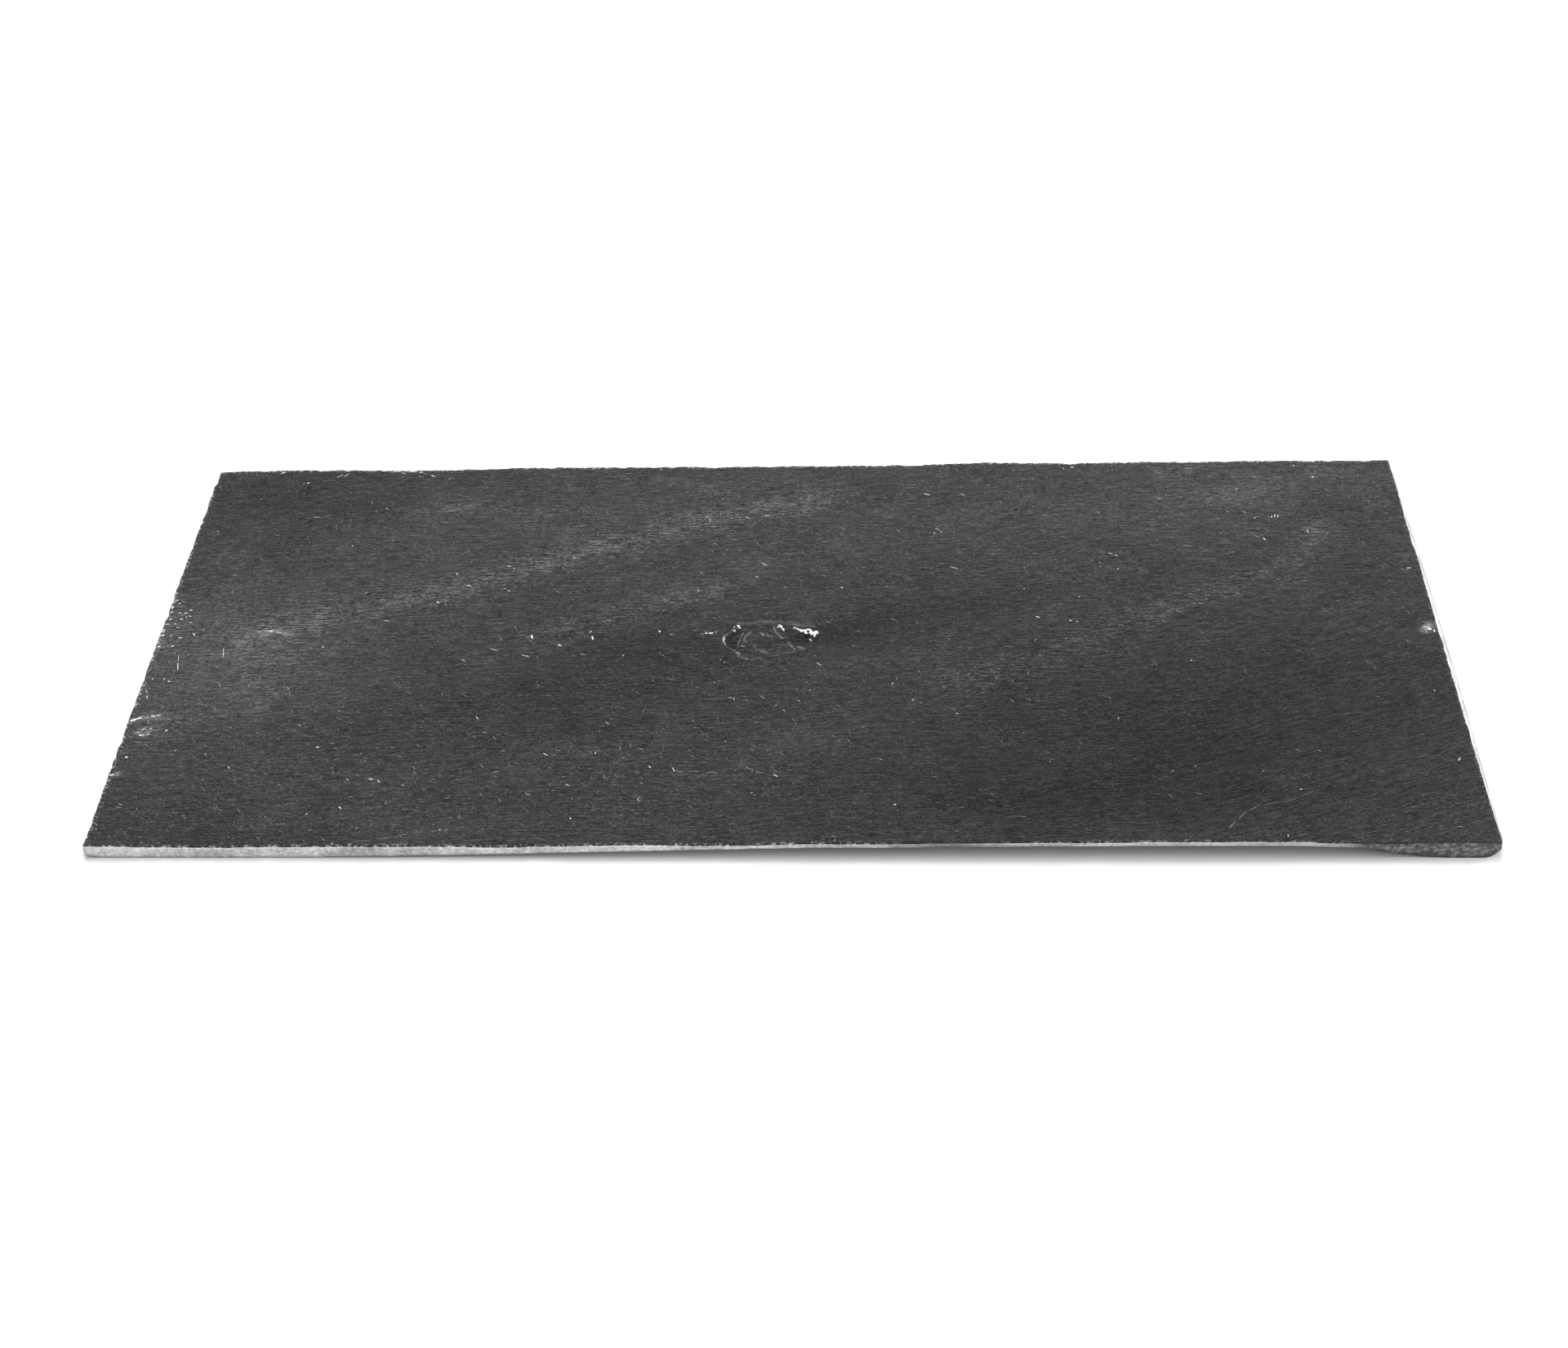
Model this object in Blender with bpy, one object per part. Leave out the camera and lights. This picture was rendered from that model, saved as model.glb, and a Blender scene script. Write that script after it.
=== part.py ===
"""Riven slate slab with dressed edges: one stone, 600 x 300 mm on top and 6 to 8 mm thick.

Metres, +Z up. The slab lies on its underside at Z = 0, long side along X, front edge at -Y.
The origin is at the middle of the slab's box, on the surface that the slab lies on.
Places below are measured from the middle of the top face, x to the right and y to the back.
"""

import math

import bmesh
import bpy
import numpy as np

# Size of the slab
LENGTH = 0.600  # top face, left end to right end
LEFT_WIDTH = 0.2986  # top face, front to back at the left end
RIGHT_WIDTH = 0.3014
WIDTH = (LEFT_WIDTH + RIGHT_WIDTH) / 2
FRONT_LEFT_HEIGHT = 0.0063
FRONT_RIGHT_HEIGHT = 0.0080
BACK_LEFT_HEIGHT = 0.0069
BACK_RIGHT_HEIGHT = 0.0081

# Dressed right end, whose foot stands out past its top edge
FOOT_REACH = 0.0051  # fitted, as the shares below are, to where the pale strip ends in the photo
FOOT_FRONT_START = -0.0042  # the foot draws in to nothing between these distances from the front corner
FOOT_FRONT_FULL = 0.014
FOOT_FRONT_FADE = 0.120
FOOT_AT_FRONT = 0.80  # share of the reach near the front corner
FOOT_BACK_FADE = 0.100
FOOT_AT_BACK = 0.77  # share of the reach that is left at the back corner
ARRIS_REACH = 0.0006  # how far the right end's top edge stands out past the nominal line
RIGHT_CHIP_SHARE = 0.45  # the right end's arris is chipped less than the others

# Knocked-off lower front-right corner, and the nipped lower front-left one
CORNER_RADIUS = 0.0062
CORNER_REACH = 0.014  # along the right end
NIP_REACH = 0.009
NIP_RISE = 0.0014

# Hollow in the underside, where flakes have come away behind the front edge
HOLLOW_HEIGHT = 0.0064
HOLLOW_LEFT = -0.245  # the hollow starts here and is full from HOLLOW_FULL on
HOLLOW_FULL = 0.095
HOLLOW_SHOULDER = 0.224  # from here it closes again, to HOLLOW_RIGHT
HOLLOW_RIGHT = 0.282
HOLLOW_REACH = 0.028  # how far it runs back from the front edge
HOLLOW_BAY = 0.050  # added reach at its deepest bay
HOLLOW_BAY_X = 0.200
HOLLOW_BAY_SPREAD = 0.040
HOLLOW_WAVE = 0.020
HOLLOW_WAVE_SHARE = 0.35
LAYER = 0.0009  # the hollow breaks back in layers of this thickness
LAYERS_FROM = 0.003  # behind the front edge
LEAST_THICKNESS = 0.0019

# Riven surface: long swells along the grain, which runs up to the right
GRAIN_TURN = math.radians(20)
SWELL_LENGTH = 0.085
SWELL_WIDTH = 0.030
SWELL_HEIGHT = 0.00035
FRONT_SWELL_HEIGHT = 0.0009  # the front edge dips left of the middle and rises right of it
FRONT_SWELL_REACH = 0.090
FRONT_SWELL_SHIFT = 0.020
TERRACE_STEP = 0.00025
TERRACE_COUNT = 3.0
TERRACE_SIZE = (0.085, 0.024)  # along and across the grain
TERRACE_EDGE = 0.75  # the step between two cleavage planes takes the rest of each level

# Flake ledges: ((start), (end), bow to the left of the run, drop, reach of the slope)
LEDGES = (
    ((0.187, -0.142), (0.228, -0.115), 0.004, 0.00040, 0.014),
    ((-0.250, 0.004), (-0.140, 0.056), 0.006, 0.00030, 0.018),
    ((-0.140, 0.056), (-0.004, 0.114), 0.005, 0.00035, 0.020),
    ((0.075, -0.035), (0.178, 0.022), -0.004, 0.00035, 0.018),
    ((0.178, 0.022), (0.262, 0.080), 0.004, 0.00030, 0.018),
    ((-0.165, -0.140), (-0.115, -0.133), 0.003, 0.00025, 0.010),
    ((-0.298, -0.062), (-0.284, -0.030), -0.004, 0.00050, 0.008),
    ((-0.299, 0.032), (-0.287, 0.004), 0.003, 0.00050, 0.008),
    ((0.215, 0.098), (0.246, 0.099), 0.002, 0.00030, 0.009),
)
LEDGE_FACE = 0.0025  # run of the step itself

# Knot: an eye-shaped scar with a deep crescent at its left end
KNOT_X, KNOT_Y = -0.0105, -0.0035
KNOT_HALF_LENGTH = 0.0225
KNOT_HALF_WIDTH = 0.0125
KNOT_TAPER = 0.22  # the eye is narrower at its right end by this share
KNOT_TAPER_END = 1.5  # the taper stops this many half lengths from the middle
KNOT_DEPTH = 0.0007
KNOT_WALL = 0.80  # share of the radius where the wall meets the floor
KNOT_CRESCENT_DEPTH = 0.0011
KNOT_CRESCENT = (-0.55, -0.75)  # it fades in between these shares of the half length
KNOT_LIP = 0.0003
KNOT_LIP_SPREAD = 0.16
KNOT_RIDGE = 0.00035
KNOT_RIDGE_LENGTH = 0.0155  # from one curved ridge to the next
KNOT_RIDGE_BOW = 0.010
GRAIN_ROW = ((0.0035, 0.0035), (0.0115, 0.0010))  # white grains along the knot's upper right
GRAIN_ROW_HEIGHT = 0.0009
GRAIN_ROW_RADIUS = 0.0022

# Chipped arrises and the rough faces below them
CHIP_DEPTH = 0.0006
CHIP_LENGTH = 0.006
CHIP_SPREAD = 0.030  # chips come in runs of about this length
CHIP_RUN_SHARE = 0.6  # how far the runs of chips deepen them
CHIP_RUN_ROW = 0.5  # the runs read the noise this far from the chips
CHIP_FIRST_ROW, CHIP_END_ROW, CHIP_SIDE_ROW = 0.4, 3.0, 7.0  # noise rows that set the arrises apart
CHIP_DROP = 0.55  # share of a chip's depth by which it lowers the arris
FACE_ROUGHNESS = 0.0004
FACE_GRAIN = 0.009

# Underside: flat where it bears, with shallow riven pockets between
POCKET_STEP = 0.0003
POCKET_COUNT = 4.5
POCKET_SIZE = (0.120, 0.040)
POCKET_LEVEL = 0.10  # pockets open only where the noise is over this
POCKET_RIM = (0.004, 0.016)  # they fade in between these distances from the rim
POCKET_EDGE = 0.40
BEARING_X, BEARING_Y = -0.060, 0.040  # middle of a field that is always flat
BEARING_RADIUS = 0.060
BEARING_FADE = 0.090  # pockets are full from this distance on

# Net of the solid, which is thinned afterwards where the stone is flat
CELL = 0.0020
KNOT_REACH = 0.030  # the top face is cut finer within this distance of the knot's middle
KNOT_CUTS = 1
FACE_LEVEL = 0.45  # height of the line cut round the edge faces, as a share of the thickness
KEPT_TRIANGLES = 9700
FLAT_WITHIN = 0.00003  # an underside point this close to Z = 0 lies on it

NOISE_TABLE = 128
NOISE_GAIN = 1.6  # brings the noise's peaks to about 1
SWELL_SEED, TERRACE_SEED, CHIP_SEED, FACE_SEED, POCKET_SEED, HOLLOW_SEED = range(11, 17)

SLATE_COLOUR = (0.061, 0.061, 0.063)
SLATE_ROUGHNESS = 0.72
EDGE_COLOUR = (0.36, 0.36, 0.36)
EDGE_ROUGHNESS = 0.85
STEEP = 0.5  # a face whose normal rises less than this is part of an edge face


def clear_scene():
    for old in list(bpy.data.objects):
        bpy.data.objects.remove(old)


def smooth(start, full, value):
    """0 at the start and before it, 1 from full on, with an even slope at both ends."""
    share = np.clip((value - start) / (full - start), 0.0, 1.0)
    return share * share * (3.0 - 2.0 * share)


def bell(distance, spread):
    return np.exp(-((distance / spread) ** 2))


def noise(u, v, seed):
    """Gradient noise from about -1 to 1, with lumps one unit across."""
    turns = np.random.default_rng(seed).uniform(0.0, 2.0 * math.pi, (NOISE_TABLE, NOISE_TABLE))
    column, row = np.floor(u).astype(int), np.floor(v).astype(int)
    total = 0.0
    for right in (0, 1):
        for up in (0, 1):
            turn = turns[(row + up) % NOISE_TABLE, (column + right) % NOISE_TABLE]
            off_u, off_v = u - column - right, v - row - up
            weight = (1.0 - smooth(0.0, 1.0, np.abs(off_u))) * (1.0 - smooth(0.0, 1.0, np.abs(off_v)))
            total = total + weight * (np.cos(turn) * off_u + np.sin(turn) * off_v)
    return NOISE_GAIN * total


def layered(level, edge):
    """A level turned into flat layers. The step between two takes what edge leaves of each level."""
    floor = np.floor(level)
    return floor + smooth(edge, 1.0, level - floor)


def beside(x, y, start, end):
    """(share of the way along, signed distance to the left, length) of places beside a straight run."""
    run_x, run_y = end[0] - start[0], end[1] - start[1]
    length = math.hypot(run_x, run_y)
    along = ((x - start[0]) * run_x + (y - start[1]) * run_y) / length**2
    aside = ((y - start[1]) * run_x - (x - start[0]) * run_y) / length
    return along, aside, length


def grain_place(x, y):
    """Distances along and across the grain of the riven face."""
    along = x * math.cos(GRAIN_TURN) + y * math.sin(GRAIN_TURN)
    across = y * math.cos(GRAIN_TURN) - x * math.sin(GRAIN_TURN)
    return along, across


def ledge_relief(x, y):
    """Thin flakes that end in a low step and slope back to the face behind it."""
    height = np.zeros_like(x)
    for start, end, bow, drop, reach in LEDGES:
        along, aside, _ = beside(x, y, start, end)
        fade = np.sin(math.pi * np.clip(along, 0.0, 1.0))
        below = bow * fade - aside
        slope = np.clip(1.0 - below / reach, 0.0, 1.0)
        height -= drop * fade * slope * smooth(0.0, LEDGE_FACE, below)
    return height


def knot_relief(x, y):
    """Height of the eye-shaped scar above the riven face, and the white grains on its rim."""
    along = (x - KNOT_X) / KNOT_HALF_LENGTH
    taper = KNOT_TAPER * np.clip(along, -KNOT_TAPER_END, KNOT_TAPER_END)
    across = (y - KNOT_Y) / (KNOT_HALF_WIDTH * (1.0 - taper))
    radius = np.hypot(along, across)
    inside = smooth(1.0, KNOT_WALL, radius)
    height = KNOT_LIP * bell(radius - 1.0 - KNOT_LIP_SPREAD / 2, KNOT_LIP_SPREAD)
    height -= KNOT_DEPTH * inside
    height -= KNOT_CRESCENT_DEPTH * smooth(*KNOT_CRESCENT, along) * inside
    turns = (x - KNOT_X - KNOT_RIDGE_BOW * across * across) / KNOT_RIDGE_LENGTH
    height += KNOT_RIDGE * np.sin(2.0 * math.pi * turns) * smooth(KNOT_WALL, KNOT_WALL / 2, radius)
    share, aside, length = beside(x, y, *GRAIN_ROW)
    past = length * np.maximum(np.maximum(-share, share - 1.0), 0.0)
    return height + GRAIN_ROW_HEIGHT * bell(np.hypot(past, aside), GRAIN_ROW_RADIUS)


def terrace_relief(x, y):
    """Cleavage planes that break off at slightly different levels."""
    along, across = grain_place(x, y)
    level = noise(along / TERRACE_SIZE[0], across / TERRACE_SIZE[1], TERRACE_SEED)
    return TERRACE_STEP * layered(TERRACE_COUNT * level, TERRACE_EDGE)


def top_height(x, y):
    """Height of the riven face above the surface that the slab lies on."""
    right = x / LENGTH + 0.5
    back = y / WIDTH + 0.5
    front_height = FRONT_LEFT_HEIGHT * (1.0 - right) + FRONT_RIGHT_HEIGHT * right
    back_height = BACK_LEFT_HEIGHT * (1.0 - right) + BACK_RIGHT_HEIGHT * right
    height = front_height * (1.0 - back) + back_height * back
    front_wave = np.sin(2.0 * math.pi * (x + FRONT_SWELL_SHIFT) / LENGTH)
    height += FRONT_SWELL_HEIGHT * front_wave * smooth(FRONT_SWELL_REACH, 0.0, y + WIDTH / 2)
    along, across = grain_place(x, y)
    height += SWELL_HEIGHT * noise(along / SWELL_LENGTH, across / SWELL_WIDTH, SWELL_SEED)
    return height + terrace_relief(x, y) + ledge_relief(x, y) + knot_relief(x, y)


def hollow_height(x, y):
    """How far the underside is hollowed behind the front edge."""
    from_edge = y + WIDTH / 2
    reach = HOLLOW_REACH + HOLLOW_BAY * bell(x - HOLLOW_BAY_X, HOLLOW_BAY_SPREAD)
    reach = reach * (1.0 + HOLLOW_WAVE_SHARE * noise(x / HOLLOW_WAVE, from_edge / HOLLOW_WAVE, HOLLOW_SEED))
    depth = HOLLOW_HEIGHT * smooth(HOLLOW_LEFT, HOLLOW_FULL, x) * smooth(HOLLOW_RIGHT, HOLLOW_SHOULDER, x)
    height = depth * smooth(reach, 0.0, from_edge)
    share = smooth(LAYERS_FROM, 2.0 * LAYERS_FROM, from_edge)
    return height * (1.0 - share) + LAYER * layered(height / LAYER, POCKET_EDGE) * share


def corner_rise(x, y):
    """How far the lower front corners are knocked off: the right one to a quarter round."""
    from_right = np.hypot((x - LENGTH / 2) / CORNER_RADIUS, (y + WIDTH / 2) / CORNER_REACH)
    into_round = np.clip(1.0 - from_right, 0.0, 1.0)
    rise = CORNER_RADIUS * (1.0 - np.sqrt(1.0 - into_round**2))
    from_left = np.hypot(x + LENGTH / 2, y + WIDTH / 2)
    return rise + NIP_RISE * np.clip(1.0 - from_left / NIP_REACH, 0.0, 1.0)


def pocket_height(x, y):
    """Shallow riven pockets in the underside, clear of the bearing field and of the rim."""
    along, across = grain_place(x, y)
    wave = noise(along / POCKET_SIZE[0], across / POCKET_SIZE[1], POCKET_SEED)
    from_bearing = np.hypot(x - BEARING_X, y - BEARING_Y)
    from_rim = np.minimum(LENGTH / 2 - np.abs(x), WIDTH / 2 - np.abs(y))
    level = POCKET_COUNT * np.maximum(0.0, wave - POCKET_LEVEL) * smooth(*POCKET_RIM, from_rim)
    return POCKET_STEP * layered(level * smooth(BEARING_RADIUS, BEARING_FADE, from_bearing), POCKET_EDGE)


def under_height(x, y, top):
    height = np.maximum(hollow_height(x, y) + corner_rise(x, y), pocket_height(x, y))
    return np.minimum(height, top - LEAST_THICKNESS)


def foot_reach(y):
    """How far the right end's foot stands out, less at its two corners."""
    corner = smooth(FOOT_FRONT_START, FOOT_FRONT_FULL, y + WIDTH / 2)
    at_front = FOOT_AT_FRONT + (1.0 - FOOT_AT_FRONT) * smooth(0.0, FOOT_FRONT_FADE, y + WIDTH / 2)
    at_back = FOOT_AT_BACK + (1.0 - FOOT_AT_BACK) * smooth(0.0, FOOT_BACK_FADE, WIDTH / 2 - y)
    return FOOT_REACH * corner * at_front * at_back


def chip_depth(run, row):
    """How far the arris is broken back at a place along it: small scallops, with none in between."""
    scallop = noise(run / CHIP_LENGTH, row, CHIP_SEED)
    where = noise(run / CHIP_SPREAD, row + CHIP_RUN_ROW, CHIP_SEED)
    return CHIP_DEPTH * np.maximum(0.0, scallop + CHIP_RUN_SHARE * where)


def slab_points(flat):
    """The net's points moved to the stone's surface. Level 1 is the top face, 0 the underside."""
    x, y, level = flat.T
    top = top_height(x, y)
    under = under_height(x, y, top)
    end = np.where(np.isclose(np.abs(x), LENGTH / 2), np.sign(x), 0.0)
    side = np.where(np.isclose(np.abs(y), WIDTH / 2), np.sign(y), 0.0)
    arris = (level > 0.999) & ((end != 0.0) | (side != 0.0))
    row = CHIP_FIRST_ROW + CHIP_END_ROW * end + CHIP_SIDE_ROW * side
    chip = np.where(arris, chip_depth(np.where(end != 0.0, y, x), row), 0.0)
    chip = chip * np.where(end > 0.0, RIGHT_CHIP_SHARE, 1.0)
    wall = (level > 0.001) & (level < 0.999)
    rough = np.where(wall, FACE_ROUGHNESS * np.abs(noise(x / FACE_GRAIN, y / FACE_GRAIN, FACE_SEED)), 0.0)
    top = top - CHIP_DROP * chip
    width = LEFT_WIDTH + (RIGHT_WIDTH - LEFT_WIDTH) * (x / LENGTH + 0.5)
    out = np.where(end > 0.0, foot_reach(y) * (1.0 - level) + ARRIS_REACH * level, 0.0)
    moved_x = x - end * (chip + rough) + out
    moved_y = y * width / WIDTH - side * (chip + rough)
    return np.stack([moved_x, moved_y, under + level * (top - under)], axis=1)


def blank():
    """A flat box cut into an even net, finer on top around the knot, with one line round its edge faces."""
    mesh = bmesh.new()
    bmesh.ops.create_grid(mesh, x_segments=round(LENGTH / CELL), y_segments=round(WIDTH / CELL), size=0.5)
    bmesh.ops.scale(mesh, vec=(LENGTH, WIDTH, 1.0), verts=mesh.verts)
    walls = bmesh.ops.extrude_face_region(mesh, geom=list(mesh.faces))["geom"]
    raised = [part for part in walls if isinstance(part, bmesh.types.BMVert)]
    bmesh.ops.translate(mesh, vec=(0.0, 0.0, 1.0), verts=raised)
    bmesh.ops.recalc_face_normals(mesh, faces=mesh.faces)
    near = [edge for edge in mesh.edges if all(by_knot(point.co) for point in edge.verts)]
    bmesh.ops.subdivide_edges(mesh, edges=near, cuts=KNOT_CUTS, use_grid_fill=True)
    geometry = list(mesh.verts) + list(mesh.edges) + list(mesh.faces)
    bmesh.ops.bisect_plane(mesh, geom=geometry, dist=1e-6, plane_co=(0, 0, FACE_LEVEL), plane_no=(0, 0, 1))
    bmesh.ops.triangulate(mesh, faces=mesh.faces)
    return mesh


def by_knot(place):
    return place.z > 0.5 and math.hypot(place.x - KNOT_X, place.y - KNOT_Y) < KNOT_REACH


def move_points(data, function):
    """Passes all of a mesh's points through a function as one array."""
    places = np.empty(3 * len(data.vertices))
    data.vertices.foreach_get("co", places)
    data.vertices.foreach_set("co", function(places.reshape(-1, 3)).ravel())
    data.update()


def thinned(data):
    """A copy of a net with fewer triangles where the stone is flat."""
    net = bpy.data.objects.new("net", data)
    bpy.context.scene.collection.objects.link(net)
    thinning = net.modifiers.new("thinning", "DECIMATE")
    thinning.ratio = KEPT_TRIANGLES / len(data.polygons)
    thinning.use_collapse_triangulate = True
    graph = bpy.context.evaluated_depsgraph_get()
    copy = bpy.data.meshes.new_from_object(net.evaluated_get(graph))
    bpy.data.objects.remove(net)
    bpy.data.meshes.remove(data)
    return copy


def settled(places):
    """Lays the underside's flats exactly on Z = 0 and puts the middle of the slab's box over the origin."""
    places[places[:, 2] < FLAT_WITHIN, 2] = 0.0
    middle = (places.min(axis=0) + places.max(axis=0)) / 2
    middle[2] = 0.0
    return places - middle


def slate_material(name, colour, roughness):
    material = bpy.data.materials.new(name)
    material.use_nodes = True
    shader = material.node_tree.nodes["Principled BSDF"]
    shader.inputs["Base Color"].default_value = (*colour, 1.0)
    shader.inputs["Roughness"].default_value = roughness
    shader.inputs["Metallic"].default_value = 0.0
    material.diffuse_color = (*colour, 1.0)
    return material


def build_slab(collection):
    """The slab, dark on its two riven faces and pale on its dressed edge faces."""
    mesh = blank()
    net = bpy.data.meshes.new("net")
    mesh.to_mesh(net)
    mesh.free()
    move_points(net, slab_points)
    data = thinned(net)
    move_points(data, settled)
    data.name = "slab"
    data.materials.append(slate_material("riven_slate", SLATE_COLOUR, SLATE_ROUGHNESS))
    data.materials.append(slate_material("dressed_slate_edge", EDGE_COLOUR, EDGE_ROUGHNESS))
    for face in data.polygons:
        face.material_index = 0 if abs(face.normal.z) > STEEP else 1
    collection.objects.link(bpy.data.objects.new("slab", data))


def main():
    clear_scene()
    collection = bpy.data.collections.new("slate_slab")
    bpy.context.scene.collection.children.link(collection)
    build_slab(collection)


main()
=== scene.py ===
"""Dresses the riven slate slab: the relief of its stone, its splinters, its white grains and its finishes.

Lengths are in metres, except in the tables of patches, streaks, slivers and grains, which are in millimetres.
Places on the slab are measured from the middle of its top face, x to the right and y to the back, and
move_to_box() brings them into the model's own frame.
"""

import logging
import math
from dataclasses import dataclass, field
from enum import Enum
from typing import Any, Sequence

import bmesh
import bpy
import numpy as np
from mathutils import Matrix, Vector

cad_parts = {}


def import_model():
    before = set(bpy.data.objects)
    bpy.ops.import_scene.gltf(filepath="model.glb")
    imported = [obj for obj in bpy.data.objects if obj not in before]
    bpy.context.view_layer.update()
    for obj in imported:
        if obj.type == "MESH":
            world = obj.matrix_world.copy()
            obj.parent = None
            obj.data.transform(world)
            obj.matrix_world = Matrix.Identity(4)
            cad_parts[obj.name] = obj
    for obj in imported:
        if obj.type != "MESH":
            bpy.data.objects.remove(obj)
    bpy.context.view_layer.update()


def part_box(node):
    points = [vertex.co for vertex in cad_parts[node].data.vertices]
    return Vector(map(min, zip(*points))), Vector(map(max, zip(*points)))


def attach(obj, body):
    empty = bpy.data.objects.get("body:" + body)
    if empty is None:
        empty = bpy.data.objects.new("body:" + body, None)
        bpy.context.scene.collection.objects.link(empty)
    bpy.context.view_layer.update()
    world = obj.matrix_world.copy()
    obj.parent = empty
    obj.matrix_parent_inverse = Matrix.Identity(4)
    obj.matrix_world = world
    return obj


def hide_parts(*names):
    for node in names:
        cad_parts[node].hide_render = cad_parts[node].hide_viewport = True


Place = tuple[float, float]  # also a pair of sizes or limits
Spot = tuple[float, float, float]
Numbers = np.ndarray
MM = 0.001
TOP_LENGTH = 0.600  # of the top face, without the foot of the right end
SLAB_NODE = "slab"
NOISE_TABLE = 128
NOISE_GAIN = 1.6  # brings the noise's peaks to about 1
CHIPPED = 2.4 * MM  # how far in from its edges the riven face is chipped white
ON_TOP = 0.999  # a point of the flat net above this level is on the riven face
UNDERNEATH = 1e-6  # and one below this level is on the lower face
RAY_START = 0.05  # how far above the stone the rays start that find its surface
log = logging.getLogger("slate_slab")


class Seed(Enum):
    """Fixed seeds. The first six are shared with the solid, so that both have the same relief."""

    SWELL = 11
    TERRACE = 12
    CHIP = 13
    FACE = 14
    POCKET = 15
    HOLLOW = 16
    RIPPLE = 17
    MOTTLE = 18
    STREAK = 19
    SPLINTER = 20
    GRAIN = 21


def smooth(start: float, full: float, value: Numbers) -> Numbers:
    """A soft step.

    Args:
        start: where it leaves 0.
        full: where it reaches 1.
        value: what is measured.

    Returns:
        0 to 1, with an even slope at both ends.
    """
    share = np.clip((value - start) / (full - start), 0.0, 1.0)
    return share * share * (3.0 - 2.0 * share)


def bell(distance: Numbers, spread: float) -> Numbers:
    """1 at no distance, fading evenly over the spread."""
    return np.exp(-((distance / spread) ** 2))


def noise(u: Numbers, v: Numbers, seed: Seed) -> Numbers:
    """Gradient noise with lumps one unit across.

    Args:
        u: first coordinate.
        v: second coordinate.
        seed: which noise it is.

    Returns:
        Values from about -1 to 1.
    """
    turns = np.random.default_rng(seed.value).uniform(0.0, 2.0 * math.pi, (NOISE_TABLE, NOISE_TABLE))
    column, row = np.floor(u).astype(int), np.floor(v).astype(int)
    total = 0.0
    for right in (0, 1):
        for up in (0, 1):
            turn = turns[(row + up) % NOISE_TABLE, (column + right) % NOISE_TABLE]
            off_u, off_v = u - column - right, v - row - up
            weight = (1.0 - smooth(0.0, 1.0, np.abs(off_u))) * (1.0 - smooth(0.0, 1.0, np.abs(off_v)))
            total = total + weight * (np.cos(turn) * off_u + np.sin(turn) * off_v)
    return NOISE_GAIN * total


def layered(level: Numbers, edge: float) -> Numbers:
    """A level turned into flat layers. The step between two takes what edge leaves of each level."""
    floor = np.floor(level)
    return floor + smooth(edge, 1.0, level - floor)


def beside(x: Numbers, y: Numbers, start: Place, end: Place) -> tuple[Numbers, Numbers, float]:
    """Places beside a straight run.

    Args:
        x: places along the slab.
        y: places across it.
        start: the run's first end.
        end: its second end.

    Returns:
        The share of the way along, the distance to its left, and the run's length.
    """
    run_x, run_y = end[0] - start[0], end[1] - start[1]
    length = math.hypot(run_x, run_y)
    along = ((x - start[0]) * run_x + (y - start[1]) * run_y) / length**2
    aside = ((y - start[1]) * run_x - (x - start[0]) * run_y) / length
    return along, aside, length


def distance_to_path(x: Numbers, y: Numbers, path: Sequence[Place]) -> Numbers:
    """How far places are from a path.

    Args:
        x: places along the slab.
        y: places across it.
        path: the ends of its straight runs.

    Returns:
        The distance to the nearest run.
    """
    nearest = np.full(np.shape(x), np.inf)
    for start, end in zip(path[:-1], path[1:]):
        along, aside, length = beside(x, y, start, end)
        past = length * np.maximum(np.maximum(-along, along - 1.0), 0.0)
        nearest = np.minimum(nearest, np.hypot(past, aside))
    return nearest


def in_mm(*places: Place) -> tuple[Place, ...]:
    """Places given in millimetres, as metres."""
    return tuple((x * MM, y * MM) for x, y in places)


def move_to_box(places: Numbers) -> Numbers:
    """Places measured from the middle of the top face, in the model's frame. Its lowest x is the left end."""
    lowest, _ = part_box(SLAB_NODE)
    return places - np.array((-lowest[0] - TOP_LENGTH / 2, 0.0, 0.0))


def inside_slab(name: str, places: Numbers) -> Numbers:
    """Keeps places inside the box of the solid, and reports how far that moved any of them.

    Args:
        name: the piece that they belong to.
        places: in the model's own frame.

    Returns:
        The same places, none of them outside the box.
    """
    lowest, highest = (np.array(corner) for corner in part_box(SLAB_NODE))
    kept = np.clip(places, lowest, highest)
    log.info("%s: the box moved points by at most %.3f mm", name, np.abs(kept - places).max() / MM)
    return kept


def new_mesh(name: str, points: Numbers, faces: Sequence[Sequence[int]] = ()) -> bpy.types.Mesh:
    """A mesh from points and faces.

    Args:
        name: the mesh's name.
        points: one row each.
        faces: the points of each face, in order. Loose points need none.

    Returns:
        The new mesh.
    """
    data = bpy.data.meshes.new(name)
    data.from_pydata(points.tolist(), [], faces)
    data.update()
    return data


def mesh_points(data: bpy.types.Mesh) -> Numbers:
    """A mesh's points.

    Args:
        data: the mesh.

    Returns:
        One row per point.
    """
    places = np.empty(3 * len(data.vertices))
    data.vertices.foreach_get("co", places)
    return places.reshape(-1, 3)


def add_values(data: bpy.types.Mesh, name: str, values: Numbers) -> None:
    """Puts one number, or one vector, on each point of a mesh.

    Args:
        data: the mesh.
        name: the attribute's name.
        values: one row per point.
    """
    kind, socket = ("FLOAT", "value") if values.ndim == 1 else ("FLOAT_VECTOR", "vector")
    data.attributes.new(name, kind, "POINT").data.foreach_set(socket, values.ravel())


def link_piece(name: str, data: bpy.types.Mesh) -> bpy.types.Object:
    """Shows a mesh in the scene.

    Args:
        name: the new object's name.
        data: its mesh.

    Returns:
        The object.
    """
    piece = bpy.data.objects.new(name, data)
    bpy.context.scene.collection.objects.link(piece)
    return piece


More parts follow.
